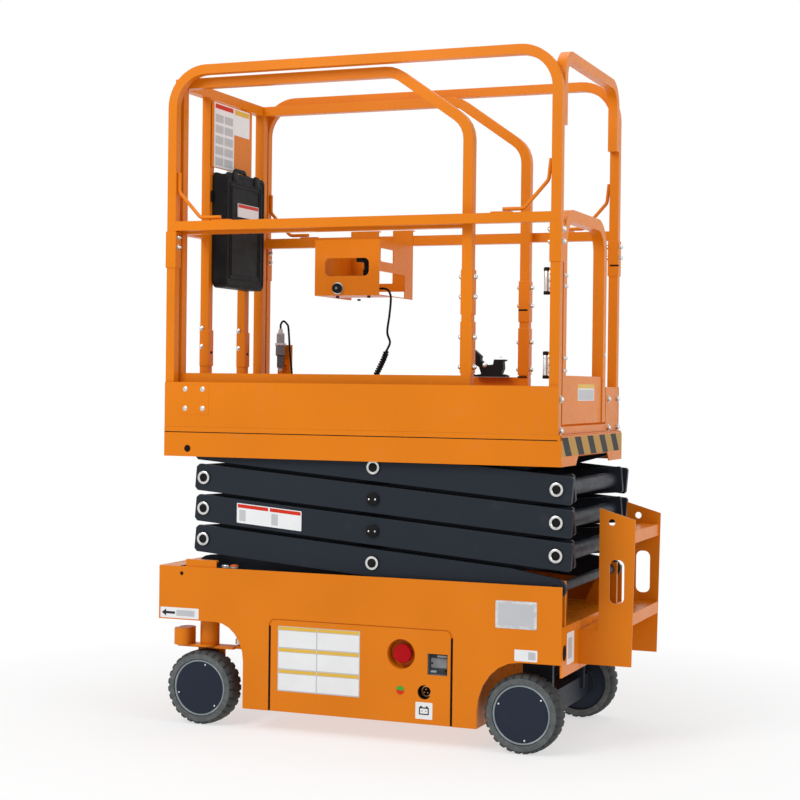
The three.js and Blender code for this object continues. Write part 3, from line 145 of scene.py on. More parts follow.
def turned(profile, sides=32):
    """A profile of (radius, height) pairs turned about z: x = r cos a, y = r sin a, z = h."""
    r, h = np.array(profile, float).T
    a = np.arange(sides) * 2 * np.pi / sides
    ring = np.stack([np.outer(r, np.cos(a)), np.outer(r, np.sin(a))], -1)
    return grid(np.concatenate([ring, np.repeat(h, sides).reshape(len(h), sides, 1)], -1))


def hoop(section, radius, sides=48):
    """A closed section of (r, h) offsets carried round a circle: x = (R + r) cos a."""
    r, h = np.array(section, float).T
    a = np.arange(sides) * 2 * np.pi / sides
    x = np.outer(np.cos(a), radius + r)
    y = np.outer(np.sin(a), radius + r)
    z = np.broadcast_to(h, x.shape)
    return grid(np.stack([x, y, z], -1), closed_path=True)


def rounded(width, height, corner, steps=5):
    """Outline of a rectangle about the origin, its corners quarter circles of a radius."""
    corner = max(min(corner, width / 2 - 0.01, height / 2 - 0.01), 0.01)
    a = np.linspace(0, np.pi / 2, steps)
    parts = []
    for k, (sx, sy) in enumerate([(1, 1), (-1, 1), (-1, -1), (1, -1)]):
        t = a + k * np.pi / 2
        parts.append(
            np.stack(
                [
                    sx * (width / 2 - corner) + corner * np.cos(t),
                    sy * (height / 2 - corner) + corner * np.sin(t),
                ],
                -1,
            )
        )
    return np.concatenate(parts)


def pad(width, height, depth, corner, edge=0.5, steps=5, soft=3):
    """A rounded outline carried up z, drawn in by edge (1 - cos t) at its front as z rises
    by edge sin t: a plate with a rolled front edge and a flat back at z = 0."""
    t = np.linspace(0, np.pi / 2, soft)
    insets = [0.0, *(edge * (1 - np.cos(t)))]
    heights = [0.0, *(depth - edge + edge * np.sin(t))]
    rings = []
    for inset, z in zip(insets, heights):
        ring = rounded(width - 2 * inset, height - 2 * inset, corner - inset, steps)
        rings.append(np.column_stack([ring, np.full(len(ring), z)]))
    return grid(np.array(rings))


def slab(outline, depth):
    """An outline carried straight up z by a depth."""
    flat = np.asarray(outline, float)
    return grid(np.array([np.column_stack([flat, np.full(len(flat), h)]) for h in (0, depth)]))


def frames(path):
    """Tangents of a path and a pair of normals carried along it without twist."""
    tangent = np.gradient(path, axis=0)
    tangent /= np.linalg.norm(tangent, axis=1)[:, None]
    start = np.array([0, 1, 0]) if abs(tangent[0][1]) < 0.8 else np.array([0, 0, 1])
    normal = np.cross(tangent[0], start)
    normals = [normal / np.linalg.norm(normal)]
    for t in tangent[1:]:
        n = normals[-1] - (normals[-1] @ t) * t
        normals.append(n / np.linalg.norm(n))
    normals = np.array(normals)
    return tangent, normals, np.cross(tangent, normals)


def swept(path, outline):
    """An outline carried along a path: p + u n + v b for each outline point (u, v)."""
    path = np.array(path, float)
    _, n, b = frames(path)
    u, v = np.array(outline, float).T
    return grid(path[:, None] + u[None, :, None] * n[:, None] + v[None, :, None] * b[:, None])


def circle(radius, sides=12):
    """Points of a circle about the origin."""
    a = np.arange(sides) * 2 * np.pi / sides
    return np.stack([radius * np.cos(a), radius * np.sin(a)], -1)


def spline(points, step):
    """A smooth curve through points: the cubic whose slope at each point is half the step from
    its neighbour before to its neighbour after, sampled evenly about a step apart."""
    p = np.array(points, float)
    p = np.vstack([2 * p[0] - p[1], p, 2 * p[-1] - p[-2]])
    t = np.linspace(0, 1, 40, endpoint=False)[:, None]
    rows = [
        0.5
        * (
            2 * b
            + (c - a) * t
            + (2 * a - 5 * b + 4 * c - d) * t**2
            + (3 * b - a - 3 * c + d) * t**3
        )
        for a, b, c, d in zip(p, p[1:], p[2:], p[3:])
    ]
    dense = np.vstack([*rows, p[-2:-1]])
    along = np.r_[0, np.cumsum(np.linalg.norm(np.diff(dense, axis=0), axis=1))]
    even = np.linspace(0, along[-1], max(int(along[-1] / step), 2) + 1)
    return np.stack([np.interp(even, along, dense[:, k]) for k in range(3)], -1)


def filleted(corners_, radius, steps=7):
    """A path of straight runs whose corners are arcs of a radius."""
    p = [np.array(c, float) for c in corners_]
    out = [p[0]]
    for a, b, c in zip(p, p[1:], p[2:]):
        u, v = (a - b) / np.linalg.norm(a - b), (c - b) / np.linalg.norm(c - b)
        half = math.acos(np.clip(u @ v, -1, 1)) / 2
        back = min(radius / math.tan(half), *(np.linalg.norm(q - b) * 0.48 for q in (a, c)))
        r = back * math.tan(half)
        middle = b + (u + v) / np.linalg.norm(u + v) * r / math.sin(half)
        start, end = b + u * back - middle, b + v * back - middle
        swing = math.acos(np.clip(start @ end / (r * r), -1, 1))
        for t in np.linspace(0, 1, steps):
            out.append(
                middle
                + (math.sin((1 - t) * swing) * start + math.sin(t * swing) * end)
                / math.sin(swing)
            )
    return np.array([*out, p[-1]])


# ------------------------------------------------------------------ pieces
def put(finish, shell, at, axis="+z"):
    """A finish with a shell turned to an axis at a place."""
    return finish, moved(shell, at, axis)


def spots(finish, shell, places, axis):
    """A finish with the same shell turned to an axis at each of several places."""
    return finish, scattered(moved(shell, axis=axis), places)


def piece(name, body, parts, replaces=()):
    """One mesh object from (material, shell) pairs, riding on a body. Points are in mm."""
    mesh = bpy.data.meshes.new(name)
    vertices, faces = joined([shell for _, shell in parts])
    mesh.from_pydata((vertices * MM).tolist(), [], faces)
    kinds = list(dict.fromkeys(material for material, _ in parts))
    for material in kinds:
        mesh.materials.append(FINISH[material])
    index = np.concatenate(
        [np.full(len(shell[1]), kinds.index(material)) for material, shell in parts]
    )
    mesh.polygons.foreach_set("material_index", index.astype(np.int32))
    work = bmesh.new()
    work.from_mesh(mesh)
    bmesh.ops.recalc_face_normals(work, faces=work.faces)
    work.to_mesh(mesh)
    work.free()
    mesh.polygons.foreach_set("use_smooth", np.ones(len(mesh.polygons), bool))
    mesh.set_sharp_from_angle(angle=SMOOTH_ANGLE)
    thing = bpy.data.objects.new(name, mesh)
    bpy.context.scene.collection.objects.link(thing)
    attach(thing, body)
    if replaces:
        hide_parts(*replaces)
    return thing


# ------------------------------------------------------------------ finishes
FINISH = {}


class Nodes:
    """A small hand for building one node tree: nodes by name, links by socket."""

    def __init__(self, owner):
        self.owner = owner
        owner.use_nodes = True
        self.tree = owner.node_tree
        self.tree.nodes.clear()
        self.place = self.add("TexCoord").outputs["Object"]

    @classmethod
    def of_material(cls, name):
        return cls(bpy.data.materials.new(name))

    def add(self, kind, **values):
        node = self.tree.nodes.new("ShaderNode" + kind)
        for key, value in values.items():
            setattr(node, key, value)
        return node

    def put(self, socket, value):
        if isinstance(value, bpy.types.NodeSocket):
            self.tree.links.new(value, socket)
        else:
            socket.default_value = value

    def math(self, operation, a, b=0.0, clamp=False):
        node = self.add("Math", operation=operation, use_clamp=clamp)
        self.put(node.inputs[0], a)
        self.put(node.inputs[1], b)
        return node.outputs[0]

    def axis(self, index, source=None):
        split = self.add("SeparateXYZ")
        self.put(split.inputs[0], source or self.place)
        return split.outputs[index]

    def stretched(self, scale, turn=(0, 0, 0)):
        node = self.add("Mapping")
        self.put(node.inputs["Vector"], self.place)
        node.inputs["Scale"].default_value = scale
        node.inputs["Rotation"].default_value = turn
        return node.outputs[0]

    def noise(self, scale, detail=3.0, source=None, roughness=0.55):
        node = self.add("TexNoise")
        self.put(node.inputs["Vector"], source or self.place)
        node.inputs["Scale"].default_value = scale
        node.inputs["Detail"].default_value = detail
        node.inputs["Roughness"].default_value = roughness
        return node.outputs["Fac"]

    def span(self, value, low, high, to_low, to_high):
        node = self.add("MapRange")
        for socket, number in zip(node.inputs, (value, low, high, to_low, to_high)):
            self.put(socket, number)
        return node.outputs[0]

    def mix(self, share, a, b):
        node = self.add("Mix", data_type="RGBA")
        self.put(node.inputs["Factor"], share)
        for socket, value in ((node.inputs[6], a), (node.inputs[7], b)):
            self.put(socket, value)
        return node.outputs[2]

    def bump(self, height, depth, strength=1.0, under=None):
        node = self.add("Bump")
        self.put(node.inputs["Height"], height)
        node.inputs["Distance"].default_value = depth
        node.inputs["Strength"].default_value = strength
        if under:
            self.put(node.inputs["Normal"], under)
        return node.outputs[0]

    def shade(self, colour, roughness, normal=None, **fixed):
        shader = self.add("BsdfPrincipled")
        self.put(shader.inputs["Base Color"], colour)
        self.put(shader.inputs["Roughness"], roughness)
        if normal:
            self.put(shader.inputs["Normal"], normal)
        for name, value in fixed.items():
            shader.inputs[name.replace("_", " ")].default_value = value
        out = self.add("OutputMaterial")
        self.put(out.inputs["Surface"], shader.outputs[0])
        return self.owner


def rgba(colour, gain=1.0):
    """A colour as four numbers, with its brightness times gain."""
    return (*(min(c * gain, 1.0) for c in colour[:3]), 1.0)


def painted(name, colour, roughness, grime=0.05, peel=0.00002, index=1.22):
    """Sprayed paint: slow drifts of tone, a fine orange peel, and scuffs that dull the gloss."""
    n = Nodes.of_material(name)
    drift = n.span(n.noise(2.3, 2), 0.3, 0.7, 0, 1)
    tone = n.mix(drift, rgba(colour, 0.95), rgba(colour, 1.05))
    dust = n.span(n.noise(9, 5, roughness=0.7), 0.58, 0.78, 0, grime)
    tone = n.mix(dust, tone, (0.33, 0.31, 0.28, 1))
    scuff = n.noise(30, 4)
    rough = n.span(scuff, 0.35, 0.75, roughness - 0.04, roughness + 0.08)
    skin = n.bump(n.noise(120, 1), peel)
    return n.shade(tone, rough, skin, IOR=index)


def moulded(name, colour, roughness, grain=0.0002, **fixed):
    """Moulded plastic with a fine leather grain and faint handling marks."""
    n = Nodes.of_material(name)
    cells = n.add("TexVoronoi")
    n.put(cells.inputs["Vector"], n.place)
    cells.inputs["Scale"].default_value = 900
    marks = n.span(n.noise(14, 4), 0.45, 0.7, 0, 1)
    tone = n.mix(marks, rgba(colour, 0.88), rgba(colour, 1.3))
    rough = n.span(n.noise(30, 3), 0.3, 0.7, roughness - 0.06, roughness + 0.08)
    fixed.setdefault("IOR", 1.14)
    return n.shade(tone, rough, n.bump(cells.outputs["Distance"], grain), **fixed)


def metal(name, colour, roughness, lines=(1, 1, 14)):
    """Bare steel: fine drawn lines, brighter and duller streaks."""
    n = Nodes.of_material(name)
    streak = n.noise(60, 4, n.stretched(lines))
    tone = n.mix(n.span(streak, 0.3, 0.7, 0, 1), rgba(colour, 0.8), rgba(colour, 1.15))
    rough = n.span(streak, 0.3, 0.7, roughness - 0.05, roughness + 0.1)
    return n.shade(tone, rough, n.bump(n.noise(700, 2, n.stretched(lines)), 0.00004), Metallic=1.0)


def rubber(name, colour):
    """Grey solid rubber: mottled, rubbed paler on the raised tread, dusty in patches."""
    n = Nodes.of_material(name)
    mottle = n.span(n.noise(55, 5, roughness=0.7), 0.35, 0.7, 0, 1)
    tone = n.mix(mottle, rgba(colour, 0.72), rgba(colour, 1.22))
    dust = n.span(n.noise(7, 3), 0.5, 0.72, 0, 0.3)
    tone = n.mix(dust, tone, (0.2, 0.195, 0.18, 1))
    skin = n.bump(n.noise(260, 4, roughness=0.7), 0.0006)
    return n.shade(tone, n.span(mottle, 0, 1, 0.72, 0.92), skin, IOR=1.25)


def vinyl(name, colour, roughness=0.38):
    """Sticker film: nearly flat colour, slightly yellowed in patches, with a soft gloss."""
    n = Nodes.of_material(name)
    tone = n.mix(n.span(n.noise(12, 3), 0.4, 0.7, 0, 0.35), rgba(colour), rgba(colour, 0.86))
    return n.shade(tone, roughness, n.bump(n.noise(60, 2), 0.00002), IOR=1.25)


def banded(name, bands, roughness, along=2):
    """Plastic in bands of colour along an axis: [(from, colour), ...] in millimetres."""
    n = Nodes.of_material(name)
    place = n.axis(along)
    tone = rgba(bands[0][1])
    for start, colour in bands[1:]:
        tone = n.mix(n.math("GREATER_THAN", place, start * MM), tone, rgba(colour))
    speck = n.mix(n.span(n.noise(80, 3), 0.4, 0.7, 0, 0.25), tone, (0.05, 0.05, 0.05, 1))
    return n.shade(speck, roughness, n.bump(n.noise(500, 2), 0.0001))


def striped(name, dark, light, pitch, share, lean, base):
    """Slanting warning stripes: a band is dark where (y - base + lean z) / pitch has a
    fractional part under the share, on film dulled by wear."""
    n = Nodes.of_material(name)
    slant = n.math("ADD", n.axis(1), n.math("MULTIPLY", n.axis(2), lean))
    turns = n.math("DIVIDE", n.math("SUBTRACT", slant, base * MM), pitch * MM)
    mask = n.math("LESS_THAN", n.math("FRACT", turns), share)
    worn = n.span(n.noise(70, 5, roughness=0.75), 0.56, 0.72, 0, 0.35)
    tone = n.mix(worn, n.mix(mask, rgba(light), rgba(dark)), (0.3, 0.22, 0.14, 1))
    return n.shade(tone, n.span(worn, 0, 1, 0.5, 0.7), n.bump(n.noise(90, 2), 0.00002), IOR=1.18)


def make_finishes(look):
    """All the materials, by finish."""
    FINISH.update(
        orange_paint=painted("orange_paint", look.orange, 0.3),
        charcoal_paint=painted("charcoal_paint", look.charcoal, 0.42, 0.04),
        hub_paint=painted("navy_hub_paint", look.navy, 0.4, 0.03),
        black_plastic=moulded("black_plastic", look.black, 0.42),
        grey_plastic=moulded("grey_plastic", (0.2, 0.21, 0.22), 0.45),
        trim=moulded("trim_ring", (0.26, 0.3, 0.32), 0.4),
        signal_red=moulded("red_button", (0.46, 0.006, 0.01), 0.3, 0.00003),
        bright_steel=metal("bright_steel", (0.56, 0.56, 0.55), 0.3),
        zinc=metal("zinc_plate", (0.62, 0.62, 0.6), 0.26, (1, 1, 1)),
        dark_steel=metal("blackened_steel", (0.06, 0.062, 0.066), 0.45, (1, 1, 1)),
        tyre=rubber("tyre_rubber", look.tyre),
        tread=rubber("tread_rubber", tuple(c * 0.5 for c in look.tyre)),
        sheet_aluminium=metal("sheet_aluminium", (0.6, 0.61, 0.62), 0.36, (1, 12, 1)),
        white_film=vinyl("white_film", (0.78, 0.79, 0.8)),
        pale_film=vinyl("pale_grey_film", (0.5, 0.51, 0.53)),
        yellow_film=vinyl("yellow_film", (0.72, 0.45, 0.07)),
        dark_film=vinyl("dark_film", (0.02, 0.022, 0.03)),
        green_film=vinyl("green_film", (0.05, 0.36, 0.04)),
        red_film=vinyl("red_film", (0.6, 0.03, 0.01)),
        # black strips laid in the door gaps: painted shade, so the gaps look black
        seal=moulded("door_seal", (0.006, 0.006, 0.006), 0.6),
        # near-black finish for holes, slots and seams: painted shadow where they look dark
        shadow=moulded("painted_shadow", (0.012, 0.008, 0.006), 0.75),
        cord=moulded("cord_rubber", (0.01, 0.01, 0.011), 0.38, 0.00004),
        copper=metal("copper_pins", (0.75, 0.38, 0.18), 0.3, (1, 1, 1)),
        glass=moulded("display_glass", (0.045, 0.05, 0.055), 0.2, 0.00001),
        charge_bars=vinyl("charge_bars", (0.35, 0.4, 0.42), 0.3),
        amber_film=vinyl("amber_lens", (0.7, 0.13, 0.03), 0.25),
        hazard=striped(
            "hazard_stripes", (0.02, 0.021, 0.022), (0.47, 0.26, 0.06),
            pitch=150.5, share=0.47, lean=0.87, base=485,
        ),
        connector=banded(
            "connector_bands",
            [(0, (0.4, 0.42, 0.44)), (1215, (0.05, 0.05, 0.055)), (1261, (0.12, 0.12, 0.13)),
             (1297.5, (0.6, 0.61, 0.62)), (1306, (0.28, 0.29, 0.31)), (1339, (0.55, 0.56, 0.57))],
            0.4,
        ),
    )


NODE_FINISH = {
    "control_connector": "connector",
    "battery_pack": "black_plastic",
    "lift_cylinder_rod": "bright_steel",
    "info_plate": "orange_paint",
}
SOFT_EDGE = {  # millimetres of roll on the edges of a CAD node
    "guardrail": 4.0, "extension_rail": 1.3, "hoop": 4.0, "gate": 3.0, "side_plate": 1.2,
    "toe_board": 0.8, "deck": 1.2, "end_plate": 0.8, "kick_plate": 0.8, "ladder": 1.2,
    "arms": 1.6, "door": 0.9, "bracket": 0.8, "case": 2.5, "hand_control": 3.0, "knuckle": 1.5,
    "axle": 1.5, "tub": 1.2, "button": 3.0, "pedal": 1.5, "battery": 2.0, "display": 0.8,
    "knob": 1.2, "info_plate": 0.6, "recess": 0.6, "connector": 0.5,
}


def soften(thing, width):
    """Merge the loose triangles, roll the edges by a width and shade the rolled edges smooth."""
    mesh = thing.data
    mesh.polygons.foreach_set("use_smooth", np.ones(len(mesh.polygons), bool))
    mesh.normals_split_custom_set([(0, 0, 0)] * len(mesh.loops))
    weld = thing.modifiers.new("weld", "WELD")
    weld.merge_threshold = 0.0001
    bevel = thing.modifiers.new("rolled_edges", "BEVEL")
    bevel.width = width * MM
    bevel.segments = 2
    bevel.limit_method = "ANGLE"
    bevel.angle_limit = SMOOTH_ANGLE
    bevel.use_clamp_overlap = True
    bevel.harden_normals = True
    bevel.miter_outer = "MITER_ARC"
    flat = thing.modifiers.new("flat_faces", "WEIGHTED_NORMAL")
    flat.weight = 100
    flat.keep_sharp = True


def dress_cad():
    """Every CAD node gets its finish and rolled edges."""
    for node, thing in frame["nodes"].items():
        thing.data.materials.clear()
        thing.data.materials.append(FINISH[NODE_FINISH.get(node, SLOTS[node])])
        width = next((w for key, w in SOFT_EDGE.items() if key in node), 0.8)
        soften(thing, width)


# ------------------------------------------------------------------ wheels
LUGS = 28
WHEEL_Y, WHEEL_Z = 335.0, 125.0
WHEEL_X = {"rear": 489.0, "front": -645.0}
HALF_TYRE = 39.4
HUB_FACE = 361.3
COVER_SCREWS = {"rear": (38, 158, 278), "front": (75, 195, 315)}  # degrees round the cover
TYRE_SECTION = np.array([  # place across, radius, share of the tread depth
    (-33, 96.6, 0), (-37, 101, 0), (-39.4, 108, 0), (-39.2, 114, 0.5), (-37, 118.6, 1),
    (-31, 123.6, 1), (-14, 125, 0.22), (0, 125, 0), (14, 125, 0.22), (31, 123.6, 1),
    (37, 118.6, 1), (39.2, 114, 0.5), (39.4, 108, 0), (37, 101, 0), (33, 96.6, 0),
])


def tyre_shell(tread_depth):
    """Section points (r, y) carried round: x = r cos a, z = r sin a. The two shoulder rings sink
    by the tread depth where the lug wave, a square wave of the angle, is low; the far
    shoulder's wave is half a lug behind."""
    across, radii, share = TYRE_SECTION.T
    angle = np.linspace(0, 2 * np.pi, LUGS * 12, endpoint=False)[:, None]
    lag = np.where(across > 0, 0.5, 0.0)
    wave = (angle * LUGS / (2 * np.pi) + lag) % 1
    high = np.clip((0.36 - np.abs(wave - 0.5)) / 0.06, -1, 1) * 0.5 + 0.5
    r = radii - share * tread_depth * (1 - high)
    y = np.broadcast_to(across, r.shape)
    return grid(np.stack([r * np.cos(angle), y, r * np.sin(angle)], -1), closed_path=True)


DOME = 0.8 * np.pi / 2  # how far round a head goes before its flat top


def screw(radius, height):
    """A domed head: its radius falls as cos t while its height rises from 0.35 as sin t."""
    t = np.linspace(0, DOME, 4)
    rise = height * (0.35 + 0.65 * np.sin(t) / math.sin(DOME))
    return turned([(radius, 0), *zip(radius * np.cos(t), rise)], 14)


def bolt(radius, height):
    """A washer with a domed head on it."""
    washer = turned([(radius * 1.35, 0), (radius * 1.35, 0.8), (radius * 1.2, 1.2)], 18)
    return joined([washer, moved(screw(radius, height), (0, 0, 1.0))])


def acorn(radius, height):
    """A hexagon nut under a domed cap, on a thin washer."""
    hexagon = circle(radius, 6)
    rings = ((1, 1), (1, height * 0.45), (0.88, height * 0.5))
    nut = grid(np.array([np.column_stack([hexagon * s, np.full(6, z)]) for s, z in rings]))
    t = np.linspace(0, 0.85 * np.pi / 2, 5)
    dome = turned(list(zip(radius * 0.8 * np.cos(t), height * (0.48 + 0.52 * np.sin(t)))), 16)
    washer = turned([(radius * 1.25, 0), (radius * 1.25, 1.2)], 18)
    return joined([washer, nut, dome])


def build_wheels(tread_depth):
    """Four tyres with lugs and paler sidewalls, and on each hub a flat cover with a thin trim
    ring and three screws."""
    wall = hoop([(-9, 0), (9, 0), (8, 0.9), (-8, 1.2)], 105, 96)
    cover = turned([(88, 0), (88, 8.6), (86.6, 10.2), (70, 10.5), (12, 10.6)], 64)
    trim = hoop([(-3, 6), (3.4, 6), (3.4, 10), (2.4, 11.4), (-2, 11.4), (-3, 10.4)], 91.4, 72)
    for side, sign, axis in SIDES:
        for end, x in WHEEL_X.items():
            y = sign * WHEEL_Y
            parts = [
                put("tread", tyre_shell(tread_depth / MM), (x, y, WHEEL_Z)),
                put("tyre", wall, (x, y - HALF_TYRE, WHEEL_Z), "-y"),
                put("tyre", wall, (x, y + HALF_TYRE, WHEEL_Z), "+y"),
            ]
            body = f"{side}_{end}_wheel"
            piece(f"{side}_{end}_tread", body, parts, (f"{side}_{end}_tyre",))
            a = np.radians(COVER_SCREWS[end])
            heads = np.column_stack([81 * np.cos(a), 81 * np.sin(a), np.full(3, 10.3)])
            screws = scattered(screw(3.4, 2.4), heads)
            parts = [
                put(finish, shell, (x, sign * HUB_FACE, WHEEL_Z), axis)
                for finish, shell in (("hub_paint", cover), ("trim", trim), ("zinc", screws))
            ]
            piece(f"{side}_{end}_wheel_cover", body, parts)


# ------------------------------------------------------------------ arms
def build_pin_rings():
    """Retaining rings round the dark ends of the arm pins, and on the middle pins a ringed stub
    in the lowest and highest stages and a cap with two screws in the others."""
    ring = hoop([(-4.2, 0), (3.6, 0), (3.6, 1.6), (2, 2.6), (-3, 2.6), (-4.2, 1.4)], 18.2, 40)
    end = turned([(12.4, -3.2), (12.4, -1.6), (10.6, -1.0), (3.4, -1.0)], 24)
    stub = [
        ("zinc", hoop([(-3.6, 0), (3.6, 0), (3.4, 1.8), (-3.4, 1.8)], 18.6, 40)),
        ("black_plastic", turned([(14.4, 0), (14.4, 1.2), (13, 1.8)], 28)),
    ]
    cap = [
        ("black_plastic", turned([(21, 0), (21, 3), (19.4, 4.4), (8, 5)], 32)),
        ("zinc", scattered(screw(3.4, 2.4), [(-11, 0, 4.4), (11, 0, 4.4)])),
    ]
    for k in range(1, STAGES + 1):
        low = PIN_LOW + (k - 1) * PITCH
        ends = [(PIN_REAR, low)] * (k > 1) + [(PIN_FRONT, low + PITCH)] * (k < STAGES)
        outer, inner = [], []
        for _, sign, axis in SIDES:
            y = sign * (ARM_FACE + 0.2)
            for x, z in ends:
                outer += [put("zinc", ring, (x, y, z), axis)]
                outer += [put("black_plastic", end, (x, y, z), axis)]
            middle = ((PIN_REAR + PIN_FRONT) / 2, y, low + PITCH / 2)
            for finish, shell in stub if k in (1, STAGES) else cap:
                inner.append(put(finish, shell, middle, axis))
        piece(f"pin_rings_{k}", f"outer_{k}", outer)
        piece(f"centre_pins_{k}", f"inner_{k}", inner)


# ------------------------------------------------------------------ bolts
BOLT = (8.0, 10.5)  # radius and height of a head
LOW_BOLT = (8.0, 7.6)
SLEEVE = 3.2
REAR_BOLT_Z, FRONT_BOLT_Z = (1645, 1607), (1647, 1613)
EXT_BOLT_X = {"+x": 295.4, "-x": 255.0}
EXT_BOLT_Y, EXT_BOLT_Z = 309.7, (1503, 1439, 1310, 1214)
FOOT_X, FOOT_NUT_Y, FOOT_NUT_Z = PLATFORM_REAR - 12.8, (-351, 358, 236), (1115, 1017)


def build_platform_bolts():
    """Bolts through the guardrails' sleeves, and cap nuts on the feet of the rear posts."""
    parts = []
    for sign in (-1, 1):
        y = sign * (RAIL_Y - POST / 2)
        for axis, x, levels, size in (
            ("+x", RAIL_REAR + SLEEVE, REAR_BOLT_Z, BOLT),
            ("-x", RAIL_REAR - POST - SLEEVE, REAR_BOLT_Z, BOLT),
            ("+x", RAIL_FRONT + POST + SLEEVE, FRONT_BOLT_Z, BOLT),
            ("-x", RAIL_FRONT - SLEEVE, FRONT_BOLT_Z, LOW_BOLT),
        ):
            parts.append(spots("zinc", bolt(*size), [(x, y, z) for z in levels], axis))
    nuts = [(FOOT_X, y, z) for y in FOOT_NUT_Y for z in FOOT_NUT_Z]
    parts.append(spots("zinc", acorn(10.0, 11.0), nuts, "+x"))
    piece("guardrail_bolts", "platform", parts)


def build_extension_bolts():
    """Bolts through the sleeves of the extension's rear posts."""
    parts = []
    for y in (-EXT_BOLT_Y, EXT_BOLT_Y):
        for axis, x in EXT_BOLT_X.items():
            parts.append(spots("zinc", bolt(*BOLT), [(x, y, z) for z in EXT_BOLT_Z], axis))
    piece("extension_bolts", "extension", parts)


# ------------------------------------------------------------------ plates, films and fittings
FILM = 0.4  # a plate or a sticker
INK = 0.15  # what lies on it
THIN_INK = 0.1


def near_film(finish, x, z, y=NEAR_FACE, depth=FILM, corner=2.5):
    """A thin plate on a face that looks along -y, between two x and two z."""
    shell = pad(x[1] - x[0], z[1] - z[0], depth, corner, INK, 3, 2)
    return put(finish, shell, ((x[0] + x[1]) / 2, y, (z[0] + z[1]) / 2), "-y")


def rear_film(finish, y, z, x, depth=FILM, corner=2.5):
    """A thin plate on a face that looks along +x, between two y and two z."""
    shell = pad(y[1] - y[0], z[1] - z[0], depth, corner, INK, 3, 2)
    return put(finish, shell, (x, (y[0] + y[1]) / 2, (z[0] + z[1]) / 2), "+x")


def build_chassis_plates():
    """Plain plates and films on the near side and the rear end, a dark disc of painted shadow for
    a hole, a rounded patch of painted shadow on the rear end, and two lights on the front corner."""
    arrow = [(-25, 0), (-9, 12), (-9, 4), (25, 4), (25, -4), (-9, -4), (-9, -12)]
    # the hole is a flat dark disc: painted shadow
    hole = turned([(6.5, 0), (6.5, 0.2), (5.5, 0.3)], 18)
    printed, metal_face = NEAR_FACE - FILM, NEAR_FACE - 0.9
    rivets = [(x, metal_face, z) for x in (409, 533) for z in (401, 476)]
    parts = [
        near_film("white_film", (-793, -647), (356, 392)),
        put("dark_film", slab(arrow, 0.3), (-762, printed, 374), "-y"),
        near_film("pale_film", (-732, -662), (364, 384), printed, INK),
        near_film("sheet_aluminium", (403, 539), (395, 482), depth=0.9, corner=4),
        near_film("pale_film", (412, 530), (404, 473), metal_face, INK),
        spots("zinc", screw(3.2, 1.8), rivets, "-y"),
        near_film("white_film", (467, 542), (295, 331)),
        near_film("pale_film", (512, 536), (301, 325), printed, INK),
        # painted shadow: a dark disc for the hole, and a rounded dark patch on the rear end
        put("shadow", hole, (-713, NEAR_FACE, 509), "-y"),
        rear_film("shadow", (-364, -327), (300, 350), REAR, corner=16),
        rear_film("white_film", (-318, -236), (283, 383), REAR, corner=5),
        rear_film("pale_film", (-306, -262), (300, 366), REAR + FILM, INK, 5),
    ]
    lens = turned([(15, 0), (15, 3), (12.5, 6.5), (7, 8.5)], 24)
    foot = turned([(19, 0), (19, 3), (16, 5)], 24)
    for x, finish in ((-563, "zinc"), (-532, "amber_film")):
        parts += [put("zinc", foot, (x, -345, 533.4)), put(finish, lens, (x, -345, 536))]
    piece("chassis_plates", "chassis", parts)


CHARGER_X, CHARGER_Z = 167, 173
SCREEN_FACE = -364.8
# x and z of the black strips in the door gaps, which are painted shade
GAP_SHADE_X, GAP_SHADE_Z = (-381.2, 259.2), (71.5, 352.0)


